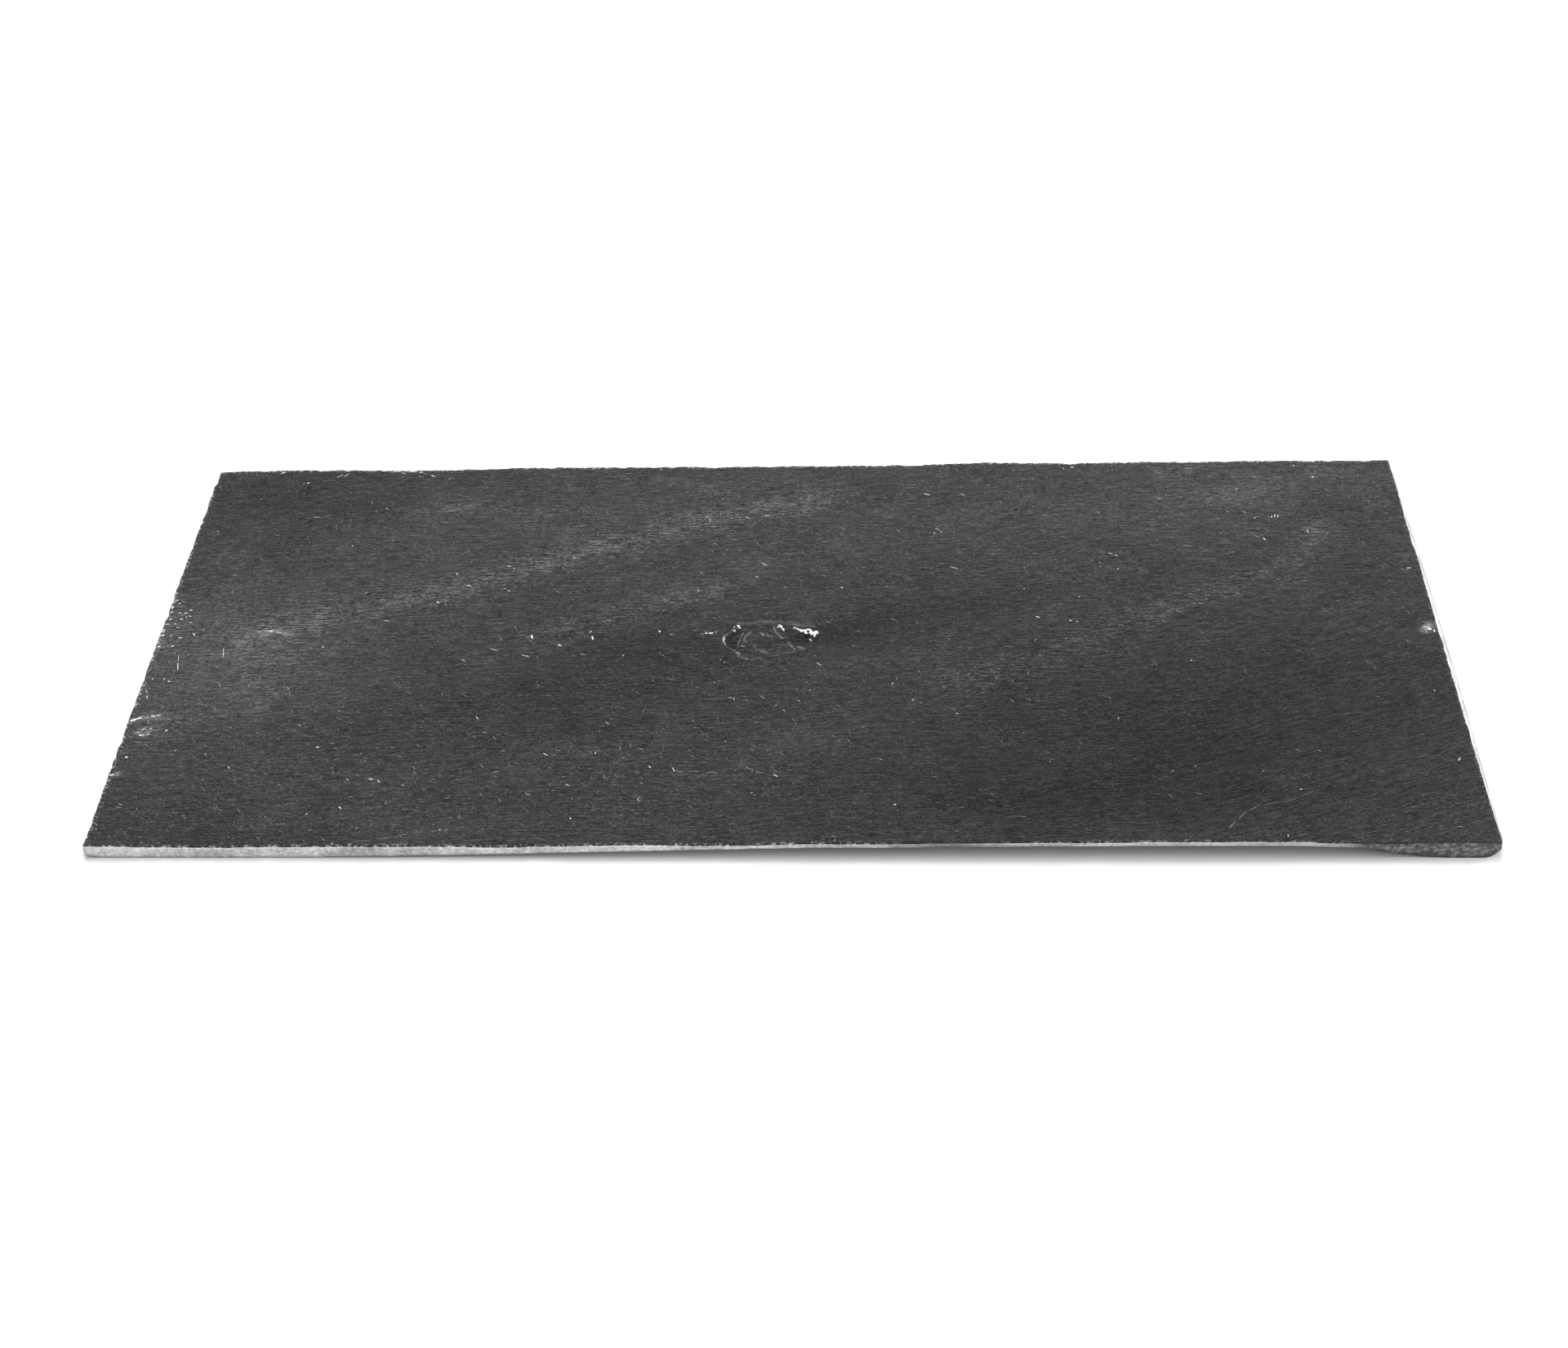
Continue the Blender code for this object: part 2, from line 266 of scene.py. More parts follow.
def add_node(
    tree: bpy.types.NodeTree, kind: str, inputs: dict[Any, Any] | None = None, **settings: Any
) -> bpy.types.Node:
    """Adds a node.

    Args:
        tree: the tree that it goes into.
        kind: the node's type.
        inputs: for each of its sockets, a value or the socket that feeds it.
        settings: the node's own properties.

    Returns:
        The new node.
    """
    node = tree.nodes.new(kind)
    for name, value in settings.items():
        setattr(node, name, value)
    for socket, value in (inputs or {}).items():
        if isinstance(value, bpy.types.NodeSocket):
            tree.links.new(value, node.inputs[socket])
        else:
            node.inputs[socket].default_value = value
    return node


def linear(hex_colour: str) -> tuple[float, float, float, float]:
    """An sRGB colour as the shaders need it.

    Args:
        hex_colour: red, green and blue, such as "4a4a4b".

    Returns:
        Linear red, green and blue, and a full alpha.
    """
    shares = [int(hex_colour[i : i + 2], 16) / 255 for i in (0, 2, 4)]
    red, green, blue = (s / 12.92 if s <= 0.04045 else ((s + 0.055) / 1.055) ** 2.4 for s in shares)
    return red, green, blue, 1.0


def grey_ramp(
    tree: bpy.types.NodeTree, value: bpy.types.NodeSocket, greys: Sequence[tuple[float, str]]
) -> bpy.types.NodeSocket:
    """Turns a value into a grey.

    Args:
        tree: the tree that the ramp goes into.
        value: the socket that gives the value.
        greys: each stop's position and sRGB colour.

    Returns:
        The socket that gives the colour.
    """
    ramp = add_node(tree, "ShaderNodeValToRGB", {"Fac": value})
    stops = ramp.color_ramp.elements
    for position, _ in greys[2:]:
        stops.new(position)
    for stop, (position, grey) in zip(stops, greys):
        stop.position = position
        stop.color = linear(grey)
    return ramp.outputs["Color"]


def new_finish(
    name: str, values: dict[str, float]
) -> tuple[bpy.types.Material, bpy.types.NodeTree, bpy.types.Node]:
    """Starts a finish.

    Args:
        name: what the real material is.
        values: the shader's own settings.

    Returns:
        The material, its tree and its shader.
    """
    material = bpy.data.materials.new(name)
    material.use_nodes = True
    shader = material.node_tree.nodes["Principled BSDF"]
    for socket, value in values.items():
        shader.inputs[socket].default_value = value
    return material, material.node_tree, shader


def new_growth(
    name: str, inputs: dict[str, str], output: str
) -> tuple[bpy.types.GeometryNodeTree, bpy.types.NodeOutputs]:
    """Starts a tree of Geometry Nodes.

    Args:
        name: the tree's name.
        inputs: the kind of each named input.
        output: the name of what the tree makes.

    Returns:
        The tree, and the sockets that give its inputs.
    """
    tree = bpy.data.node_groups.new(name, "GeometryNodeTree")
    for label, kind in inputs.items():
        tree.interface.new_socket(label, in_out="INPUT", socket_type=f"NodeSocket{kind}")
    tree.interface.new_socket(output, in_out="OUTPUT", socket_type="NodeSocketGeometry")
    return tree, add_node(tree, "NodeGroupInput").outputs


def grown_mesh(
    name: str, points: bpy.types.Mesh, tree: bpy.types.GeometryNodeTree, values: dict[str, Any]
) -> bpy.types.Object:
    """Grows a piece on a mesh's points with Geometry Nodes, and keeps it as a plain mesh in the model's box.

    Args:
        name: the new piece's name.
        points: the mesh that the nodes work on.
        tree: the nodes.
        values: for each of the tree's named inputs, its value.

    Returns:
        The piece's object.
    """
    source = link_piece(f"{name}_source", points)
    growth = source.modifiers.new(name, "NODES")
    growth.node_group = tree
    for socket in tree.interface.items_tree:
        if socket.name in values:
            growth[socket.identifier] = values[socket.name]
    graph = bpy.context.evaluated_depsgraph_get()
    data = bpy.data.meshes.new_from_object(source.evaluated_get(graph))
    data.name = name
    data.vertices.foreach_set("co", inside_slab(name, mesh_points(data)).ravel())
    data.update()
    bpy.data.objects.remove(source)
    return link_piece(name, data)


@dataclass(frozen=True)
class Ledge:
    """A thin flake that ends in a low step."""

    start: Place
    end: Place
    bow: float
    drop: float
    reach: float


@dataclass
class Knot:
    """The eye-shaped scar, with a deep crescent at its left end."""

    x: float = -0.0105
    y: float = -0.0035
    half_length: float = 0.0225
    half_width: float = 0.0125
    taper: float = 0.22
    depth: float = 0.0007
    wall: float = 0.80
    crescent_depth: float = 0.0011
    crescent: Place = (-0.55, -0.75)
    lip: float = 0.0003
    lip_spread: float = 0.16
    ridge: float = 0.00035
    ridge_length: float = 0.0155
    ridge_bow: float = 0.010
    grain_row: tuple[Place, Place] = ((0.0035, 0.0035), (0.0115, 0.0010))
    grain_row_height: float = 0.0009
    grain_row_radius: float = 0.0022

    def relief(self, x: Numbers, y: Numbers) -> Numbers:
        """Height of the scar and of the mound under its grains.

        Args:
            x: places along the slab.
            y: places across it.

        Returns:
            Metres above the riven face.
        """
        along = (x - self.x) / self.half_length
        across = (y - self.y) / (self.half_width * (1.0 - self.taper * np.clip(along, -1.5, 1.5)))
        radius = np.hypot(along, across)
        inside = smooth(1.0, self.wall, radius)
        height = self.lip * bell(radius - 1.0 - self.lip_spread / 2, self.lip_spread)
        height -= self.depth * inside
        height -= self.crescent_depth * smooth(*self.crescent, along) * inside
        turns = (x - self.x - self.ridge_bow * across * across) / self.ridge_length
        height += self.ridge * np.sin(2.0 * math.pi * turns) * smooth(self.wall, self.wall / 2, radius)
        return height + self.grain_row_height * bell(
            distance_to_path(x, y, self.grain_row), self.grain_row_radius
        )


@dataclass
class RivenFace:
    """The upper cleavage face: swells, terraces, flake ledges, fine ripples and the knot."""

    length: float
    width: float
    knot: Knot
    front_left: float = 0.0063
    front_right: float = 0.0080
    back_left: float = 0.0069
    back_right: float = 0.0081
    grain_turn: float = math.radians(20)
    swell: float = 0.00035
    swell_size: Place = (0.085, 0.030)
    front_swell: float = 0.0009
    front_swell_reach: float = 0.090
    front_swell_shift: float = 0.020
    terrace_step: float = 0.00025
    terrace_count: float = 3.0
    terrace_size: Place = (0.085, 0.024)
    terrace_edge: float = 0.75
    ripple: float = 0.00006
    ripple_size: Place = (0.011, 0.0034)
    ledge_face: float = 0.0025
    ledges: tuple[Ledge, ...] = (
        Ledge((0.187, -0.142), (0.228, -0.115), 0.004, 0.00040, 0.014),
        Ledge((-0.250, 0.004), (-0.140, 0.056), 0.006, 0.00030, 0.018),
        Ledge((-0.140, 0.056), (-0.004, 0.114), 0.005, 0.00035, 0.020),
        Ledge((0.075, -0.035), (0.178, 0.022), -0.004, 0.00035, 0.018),
        Ledge((0.178, 0.022), (0.262, 0.080), 0.004, 0.00030, 0.018),
        Ledge((-0.165, -0.140), (-0.115, -0.133), 0.003, 0.00025, 0.010),
        Ledge((-0.298, -0.062), (-0.284, -0.030), -0.004, 0.00050, 0.008),
        Ledge((-0.299, 0.032), (-0.287, 0.004), 0.003, 0.00050, 0.008),
        Ledge((0.215, 0.098), (0.246, 0.099), 0.002, 0.00030, 0.009),
    )

    def grain_place(self, x: Numbers, y: Numbers) -> tuple[Numbers, Numbers]:
        """Turns places to the run of the swells and terraces.

        Args:
            x: places along the slab.
            y: places across it.

        Returns:
            Their distances along that run and across it.
        """
        along = x * math.cos(self.grain_turn) + y * math.sin(self.grain_turn)
        across = y * math.cos(self.grain_turn) - x * math.sin(self.grain_turn)
        return along, across

    def ledge_relief(self, x: Numbers, y: Numbers) -> Numbers:
        """How far the face lies lower behind each flake's step.

        Args:
            x: places along the slab.
            y: places across it.

        Returns:
            Metres, none of them above 0.
        """
        height = np.zeros_like(x)
        for ledge in self.ledges:
            along, aside, _ = beside(x, y, ledge.start, ledge.end)
            fade = np.sin(math.pi * np.clip(along, 0.0, 1.0))
            below = ledge.bow * fade - aside
            slope = np.clip(1.0 - below / ledge.reach, 0.0, 1.0)
            height -= ledge.drop * fade * slope * smooth(0.0, self.ledge_face, below)
        return height

    def height(self, x: Numbers, y: Numbers) -> Numbers:
        """Height of the face above the surface that the slab lies on.

        Args:
            x: places along the slab.
            y: places across it.

        Returns:
            Metres above the floor.
        """
        right = x / self.length + 0.5
        back = y / self.width + 0.5
        front_height = self.front_left * (1.0 - right) + self.front_right * right
        back_height = self.back_left * (1.0 - right) + self.back_right * right
        height = front_height * (1.0 - back) + back_height * back
        front_wave = np.sin(2.0 * math.pi * (x + self.front_swell_shift) / self.length)
        height += self.front_swell * front_wave * smooth(self.front_swell_reach, 0.0, y + self.width / 2)
        along, across = self.grain_place(x, y)
        height += self.swell * noise(along / self.swell_size[0], across / self.swell_size[1], Seed.SWELL)
        level = noise(along / self.terrace_size[0], across / self.terrace_size[1], Seed.TERRACE)
        height += self.terrace_step * layered(self.terrace_count * level, self.terrace_edge)
        height += self.ripple * noise(x / self.ripple_size[0], y / self.ripple_size[1], Seed.RIPPLE)
        return height + self.ledge_relief(x, y) + self.knot.relief(x, y)


@dataclass
class Underside:
    """The lower face: flat where it bears, hollow behind the front edge, with shallow riven pockets."""

    face: RivenFace
    corner_radius: float = 0.0062
    corner_reach: float = 0.014
    nip_reach: float = 0.009
    nip_rise: float = 0.0014
    hollow: float = 0.0064
    hollow_span: tuple[float, float, float, float] = (-0.245, 0.095, 0.224, 0.282)
    hollow_reach: float = 0.028
    bay: float = 0.050
    bay_x: float = 0.200
    bay_spread: float = 0.040
    wave: float = 0.020
    wave_share: float = 0.35
    layer: float = 0.0009
    layers_from: float = 0.003
    least_thickness: float = 0.0019
    pocket_step: float = 0.0003
    pocket_count: float = 4.5
    pocket_size: Place = (0.120, 0.040)
    pocket_level: float = 0.10
    pocket_rim: Place = (0.004, 0.016)
    pocket_edge: float = 0.40
    bearing: Place = (-0.060, 0.040)
    bearing_radius: float = 0.060

    def hollow_height(self, x: Numbers, y: Numbers) -> Numbers:
        """How far the underside is broken away behind the front edge.

        Args:
            x: places along the slab.
            y: places across it.

        Returns:
            Metres above the floor.
        """
        start, full, shoulder, end = self.hollow_span
        from_edge = y + self.face.width / 2
        reach = self.hollow_reach + self.bay * bell(x - self.bay_x, self.bay_spread)
        waviness = noise(x / self.wave, from_edge / self.wave, Seed.HOLLOW)
        reach = reach * (1.0 + self.wave_share * waviness)
        depth = self.hollow * smooth(start, full, x) * smooth(end, shoulder, x)
        height = depth * smooth(reach, 0.0, from_edge)
        share = smooth(self.layers_from, 2.0 * self.layers_from, from_edge)
        steps = self.layer * layered(height / self.layer, self.pocket_edge)
        return height * (1.0 - share) + steps * share

    def corner_rise(self, x: Numbers, y: Numbers) -> Numbers:
        """How far the lower front corners are knocked off, the right one to a quarter round.

        Args:
            x: places along the slab.
            y: places across it.

        Returns:
            Metres above the floor.
        """
        length, width = self.face.length, self.face.width
        from_right = np.hypot((x - length / 2) / self.corner_radius, (y + width / 2) / self.corner_reach)
        into_round = np.clip(1.0 - from_right, 0.0, 1.0)
        rise = self.corner_radius * (1.0 - np.sqrt(1.0 - into_round**2))
        from_left = np.hypot(x + length / 2, y + width / 2)
        return rise + self.nip_rise * np.clip(1.0 - from_left / self.nip_reach, 0.0, 1.0)

    def pocket_height(self, x: Numbers, y: Numbers) -> Numbers:
        """Shallow riven pockets, clear of the field that always bears and of the rim.

        Args:
            x: places along the slab.
            y: places across it.

        Returns:
            Metres above the floor.
        """
        along, across = self.face.grain_place(x, y)
        wave = noise(along / self.pocket_size[0], across / self.pocket_size[1], Seed.POCKET)
        from_bearing = np.hypot(x - self.bearing[0], y - self.bearing[1])
        from_rim = np.minimum(self.face.length / 2 - np.abs(x), self.face.width / 2 - np.abs(y))
        level = self.pocket_count * np.maximum(0.0, wave - self.pocket_level)
        level = level * smooth(*self.pocket_rim, from_rim)
        level = level * smooth(self.bearing_radius, 1.5 * self.bearing_radius, from_bearing)
        return self.pocket_step * layered(level, self.pocket_edge)

    def height(self, x: Numbers, y: Numbers, top: Numbers) -> Numbers:
        """Height of the lower face.

        Args:
            x: places along the slab.
            y: places across it.
            top: height of the upper face there.

        Returns:
            Metres above the floor.
        """
        broken = self.hollow_height(x, y) + self.corner_rise(x, y)
        height = np.maximum(broken, self.pocket_height(x, y))
        return np.minimum(height, top - self.least_thickness)


@dataclass
class DressedRim:
    """The four edge faces: chipped arrises, a rough break below them, and the right end's sloping foot."""

    width: float
    foot: float = 0.0051
    foot_corner: Place = (-0.0042, 0.014)
    foot_front_fade: float = 0.120
    foot_at_front: float = 0.80
    foot_back_fade: float = 0.100
    foot_at_back: float = 0.77
    arris_reach: float = 0.0006
    right_chip_share: float = 0.45
    chip: float = 0.0006
    chip_length: float = 0.006
    chip_spread: float = 0.030
    grouping: float = 0.6  # how much the scallops come in groups
    rows_apart: Place = (0.5, 0.25)  # of the groups and of the nibbles from the scallops, in the noise
    chip_drop: float = 0.55
    nibble: float = 0.00034
    nibble_length: float = 0.0024
    roughness: float = 0.0004
    roughness_grain: float = 0.009
    lamina: float = 0.00012
    lamina_size: Place = (0.005, 0.28)
    lamina_row: float = 3.0  # in the noise, apart from the rough break's

    def foot_reach(self, y: Numbers) -> Numbers:
        """How far the right end's foot stands out, less at its two corners.

        Args:
            y: places across the slab.

        Returns:
            Metres past the top edge.
        """
        corner = smooth(*self.foot_corner, y + self.width / 2)
        from_front = smooth(0.0, self.foot_front_fade, y + self.width / 2)
        from_back = smooth(0.0, self.foot_back_fade, self.width / 2 - y)
        at_front = self.foot_at_front + (1.0 - self.foot_at_front) * from_front
        at_back = self.foot_at_back + (1.0 - self.foot_at_back) * from_back
        return self.foot * corner * at_front * at_back

    def chip_depth(self, run: Numbers, row: Numbers) -> Numbers:
        """How far the arris is broken back: scallops with none in between, and small nibbles all along.

        Args:
            run: places along the arris.
            row: a number that sets each side's chips apart.

        Returns:
            Metres in from the dressed line.
        """
        scallop = noise(run / self.chip_length, row, Seed.CHIP)
        where = noise(run / self.chip_spread, row + self.rows_apart[0], Seed.CHIP)
        nibble = noise(run / self.nibble_length, row + self.rows_apart[1], Seed.CHIP)
        scallop = np.maximum(0.0, scallop + self.grouping * where)
        return self.chip * scallop + self.nibble * np.maximum(0.0, nibble)

    def face_depth(self, x: Numbers, y: Numbers, level: Numbers) -> Numbers:
        """How far the edge face lies in behind its dressed plane, between its two arrises.

        Args:
            x: places along the slab.
            y: places across it.
            level: places between the lower arris, 0, and the upper one, 1.

        Returns:
            Metres in from the plane.
        """
        rough = self.roughness * np.abs(noise(x / self.roughness_grain, y / self.roughness_grain, Seed.FACE))
        run, row = (x + y) / self.lamina_size[0], level / self.lamina_size[1] + self.lamina_row
        lamina = self.lamina * np.abs(noise(run, row, Seed.FACE))
        return np.sin(math.pi * np.clip(level, 0.0, 1.0)) ** 0.5 * (rough + lamina)


@dataclass(frozen=True)
class Patch:
    """A soft oval field of paler or darker tone, given in millimetres and degrees."""

    middle: Place
    half_size: Place
    turn: float
    tone: float

    def at(self, x: Numbers, y: Numbers) -> Numbers:
        """What the field adds to the tone.

        Args:
            x: places along the slab.
            y: places across it.

        Returns:
            Shades of grey, below 0 where it is darker.
        """
        turn = math.radians(self.turn)
        off_x, off_y = x - self.middle[0] * MM, y - self.middle[1] * MM
        along = (off_x * math.cos(turn) + off_y * math.sin(turn)) / (self.half_size[0] * MM)
        across = (off_y * math.cos(turn) - off_x * math.sin(turn)) / (self.half_size[1] * MM)
        return self.tone * np.exp(-(along**2 + across**2))


@dataclass(frozen=True)
class Streak:
    """A soft band of paler, dusty or darker tone along a path, given in millimetres."""

    path: tuple[Place, ...]
    half_width: float
    tone: float
    dust: float = 0.0

    def at(self, x: Numbers, y: Numbers) -> Numbers:
        """How much of the band there is at some places, from 0 to 1."""
        return bell(distance_to_path(x, y, in_mm(*self.path)), self.half_width * MM)


@dataclass
class StoneTones:
    """Where the riven face is paler or darker. A tone is the grey that the eye sees in plain light, with
    painted shade in some darker fields and bands and a painted highlight on the knot's lip.
    """

    base: float = 0.282
    mottle: float = 0.012
    mottle_size: Place = (0.030, 0.014)
    fine_mottle: float = 0.0084
    fine_mottle_size: Place = (0.007, 0.004)
    wisp: float = 0.9  # how far a band breaks up into long wisps, which run as wisp_turn says
    wisp_size: Place = (0.022, 0.0055)
    wisp_turn: float = 0.4
    crumb: float = 0.6  # and into short crumbs
    crumb_size: Place = (0.006, 0.004)
    veined_middle: Place = (-0.010, 0.0)  # the field round the knot that holds all its veins, its painted highlight and its painted shade
    veined_half: Place = (0.034, 0.024)
    # Some darker fields hold painted shade as well as the stone's own tone: the band through the knot, from
    # (-110, -44) to (66, 22), where the face tilts away from the light, and the right front part round (165,
    # -95). The broad field at (110, 20) is painted shade over the whole right part.
    patches: tuple[Patch, ...] = (
        Patch((-265, -15), (52, 62), 0, 0.062),
        Patch((-300, -40), (40, 60), 0, 0.020),
        Patch((-200, 40), (120, 70), 25, 0.022),
        Patch((-70, 110), (190, 50), 8, 0.030),
        Patch((190, 125), (120, 45), 5, 0.042),
        Patch((110, 80), (120, 45), 10, 0.020),
        Patch((232, 122), (30, 12), 10, 0.038),
        Patch((255, 83), (14, 9), 60, 0.050),
        Patch((226, 84), (12, 9), 20, 0.022),
        Patch((272, 140), (22, 10), 0, 0.028),
        Patch((20, 82), (14, 10), 0, 0.026),
        Patch((-18, 60), (24, 12), 10, 0.020),
        Patch((-48, 38), (42, 14), 14, 0.026),
        Patch((122, 22), (22, 12), 10, 0.026),
        Patch((62, -14), (26, 9), 15, 0.016),
        Patch((8, -80), (34, 12), 16, 0.026),
        Patch((-95, -84), (44, 9), 6, 0.016),
        Patch((-38, -100), (24, 8), 0, 0.018),
        Patch((-182, -102), (26, 10), 5, 0.022),
        Patch((-150, -136), (26, 10), 10, 0.022),
        Patch((-272, -118), (30, 22), 10, 0.010),
        Patch((-270, 122), (34, 24), 25, -0.026),
        Patch((-215, 115), (26, 14), -20, -0.026),
        Patch((-185, 140), (34, 9), 0, -0.018),
        Patch((-248, 84), (22, 30), -25, -0.022),
        Patch((-290, 48), (22, 8), 30, -0.030),
        Patch((-72, -8), (36, 15), 14, -0.052),
        Patch((-38, -16), (15, 9), 0, -0.026),
        Patch((30, 2), (22, 12), 8, -0.058),
        Patch((66, 22), (42, 12), 8, -0.030),
        Patch((-110, -44), (62, 20), 12, -0.038),
        Patch((-100, -68), (44, 12), 10, -0.020),
        Patch((165, -95), (150, 55), 8, -0.056),
        Patch((190, -85), (20, 16), 20, -0.026),
        Patch((115, -122), (60, 18), 5, -0.030),
        Patch((205, -118), (30, 18), 0, -0.014),
        Patch((225, -35), (100, 34), 15, -0.030),
        Patch((-250, -142), (44, 8), 0, -0.026),
        Patch((110, 128), (44, 15), 15, -0.020),
        Patch((262, 108), (14, 12), 0, -0.022),
        Patch((110, 20), (190, 140), 0, -0.016),
        Patch((-294, 18), (8, 14), 0, 0.040),
    )
    streaks: tuple[Streak, ...] = (
        Streak(((-262, 3), (-205, 22), (-160, 42), (-140, 54), (-100, 75), (-60, 93), (-20, 110), (10, 118)),
               11.0, 0.026, 0.62),
        Streak(((-190, 32), (-150, 50), (-95, 78)), 6.5, 0.020, 0.68),
        Streak(((-55, 98), (-30, 107), (8, 115)), 8.0, 0.020, 0.40),
        Streak(((-125, 3), (-95, 14), (-60, 30), (-40, 38)), 8.0, 0.018, 0.45),
        Streak(((72, -35), (110, -17), (140, -3), (175, 21), (205, 38), (240, 54)), 10.0, 0.020, 0.34),
        Streak(((165, 16), (185, 26)), 8.0, 0.016, 0.45),
        Streak(((240, 54), (256, 84)), 9.0, 0.018, 0.35),
        Streak(((-194, 107), (-164, 114)), 5.0, 0.036, 0.50),
        Streak(((-128, 108), (-100, 110)), 5.0, 0.020, 0.30),
        Streak(((-245, -50), (-240, -28), (-238, -5)), 10.0, 0.022, 0.35),
        Streak(((182, 141), (200, 143)), 5.0, 0.022, 0.35),
        Streak(((-38, 122), (-62, 132)), 8.0, 0.016, 0.25),
        Streak(((-298, 34), (-296, 12), (-299, -8)), 3.5, 0.020, 0.60),
        Streak(((-255, 7.8), (-247, 6.8), (-238, 4.6)), 1.6, 0.150, 0.30),
        Streak(((-300, -63), (-290, -59), (-284, -58)), 2.0, 0.120, 0.80),
        Streak(((-295, -72), (-287, -69)), 2.4, 0.070, 0.80),
        Streak(((-300, -101), (-296, -100)), 1.8, 0.200, 0.60),
        Streak(((297, 8), (295, 2)), 2.6, 0.240, 0.50),
        Streak(((60, -118), (110, -112), (160, -104)), 12.0, -0.012, 0.12),
        Streak(((90, -72), (150, -62), (200, -52)), 12.0, -0.010, 0.08),
    )
    underside: float = 0.285
    veins_and_painted_light: tuple[Streak, ...] = (
        Streak(((-31.2, -6.0), (-32.3, -3.4), (-32.1, -0.8)), 0.38, 0.52),
        Streak(((-32.1, -0.8), (-31.0, 1.6), (-29.2, 3.2)), 0.40, 0.22),
        Streak(((-33.4, 3.0), (-32.0, 0.8)), 0.30, 0.14),
        Streak(((-30.6, -6.6), (-29.0, -8.0), (-27.0, -8.2), (-26.0, -10.0)), 0.55, 0.18),
        Streak(((-25.8, -10.4), (-24.4, -12.2)), 0.45, 0.52),
        Streak(((-24.6, -12.6), (-24.9, -15.2), (-22.6, -16.4), (-20.6, -16.8)), 0.50, 0.18),
        Streak(((-18.6, -16.6), (-15.0, -15.8), (-14.2, -17.6)), 0.40, 0.12),
        Streak(((-23.4, 3.0), (-24.2, 0.0), (-25.0, -2.2), (-25.4, -6.0)), 0.45, 0.20),
        Streak(((-19.6, 4.2), (-21.6, 1.4), (-22.8, -2.2), (-21.4, -4.2)), 0.50, 0.22),
        Streak(((-24.0, -6.2), (-22.2, -7.0)), 0.40, 0.28),
        Streak(((-17.2, -5.0), (-17.9, -7.6)), 0.42, 0.16),
        Streak(((-16.8, -8.0), (-14.4, -9.4), (-12.8, -10.6), (-11.4, -11.0)), 0.50, 0.15),
        Streak(((-9.8, -13.8), (-6.4, -12.6), (-2.0, -11.4), (1.6, -10.2), (6.0, -9.4)), 0.45, 0.13),
        Streak(((-14.8, 3.2), (-13.6, 2.2)), 0.55, 0.30),
        Streak(((-12.2, 3.2), (-11.2, 1.6), (-9.4, 0.8)), 0.50, 0.24),
        Streak(((-8.8, 7.6), (-8.2, 4.6), (-6.6, 1.8), (-4.6, -0.6)), 0.50, 0.28),
        Streak(((-3.6, 3.4), (-3.0, 1.0)), 0.40, 0.14),
        Streak(((-10.6, 5.6), (-9.6, 4.4)), 0.40, 0.16),
        Streak(((-2.0, -3.0), (-0.6, -5.0), (1.4, -8.4)), 0.60, 0.20),
        Streak(((2.8, -6.2), (4.2, -7.2), (5.6, -8.2)), 0.70, 0.24),
        # A painted highlight along the crest of the knot's back lip.
        Streak(((-25.5, 10.0), (-16.0, 10.8), (-8.0, 10.8), (-1.0, 10.0), (8.0, 9.0)), 1.50, 0.085),
        Streak(((-1.0, 8.8), (4.0, 8.6), (10.0, 7.8)), 0.70, 0.10),
        Streak(((0.6, 6.2), (2.4, 5.0), (3.6, 4.2)), 0.60, 0.34),
        Streak(((8.0, -1.0), (8.8, -2.4)), 0.40, 0.34),
        Streak(((-28.6, 4.4), (-26.8, 5.4)), 0.45, 0.26),
        Streak(((-16.4, 12.2), (-15.2, 13.0)), 0.40, 0.24),
        # Painted shade in the deep crescent at the knot's left end.
        Streak(((-29.0, 1.6), (-28.6, -2.0), (-28.0, -6.0)), 2.00, -0.085),
        Streak(((0.0, -0.6), (4.0, -1.6), (7.0, -0.8)), 2.00, -0.075),
        Streak(((-22.0, -18.6), (-16.0, -18.8)), 1.30, -0.050),
        Streak(((-12.0, -15.6), (-4.0, -13.6), (4.0, -12.2)), 1.40, -0.060),
        Streak(((-27.0, 13.6), (-10.0, 15.4), (6.0, 13.0)), 2.20, -0.020),
    )

    def tone(self, x: Numbers, y: Numbers) -> Numbers:
        """The grey of the riven face.

        Args:
            x: places along the slab.
            y: places across it.

        Returns:
            Tones, from 0 to 1.
        """
        total = np.full(np.shape(x), self.base)
        for patch in self.patches:
            total += patch.at(x, y)
        along = x * math.cos(self.wisp_turn) + y * math.sin(self.wisp_turn)
        across = y * math.cos(self.wisp_turn) - x * math.sin(self.wisp_turn)
        wisps = self.wisp * noise(along / self.wisp_size[0], across / self.wisp_size[1], Seed.STREAK)
        crumbs = self.crumb * noise(x / self.crumb_size[0], y / self.crumb_size[1], Seed.STREAK)
        broken = np.maximum(0.0, 1.0 + wisps + crumbs)
        for streak in self.streaks:
            total += streak.tone * streak.at(x, y) * broken
        off_x, off_y = np.abs(x - self.veined_middle[0]), np.abs(y - self.veined_middle[1])
        near = (off_x < self.veined_half[0]) & (off_y < self.veined_half[1])
        for knot_mark in self.veins_and_painted_light:
            total[near] += knot_mark.tone * knot_mark.at(x[near], y[near])
        for share, size in ((self.mottle, self.mottle_size), (self.fine_mottle, self.fine_mottle_size)):
            total += share * noise(x / size[0], y / size[1], Seed.MOTTLE)
        return total

    def dust(self, x: Numbers, y: Numbers) -> Numbers:
        """How dusty and fibrous the riven face is.

        Args:
            x: places along the slab.
            y: places across it.

        Returns:
            Shares, from 0 to 1.
        """
        total = np.zeros(np.shape(x))
        for streak in self.streaks:
            total = np.maximum(total, streak.dust * streak.at(x, y))
        return total


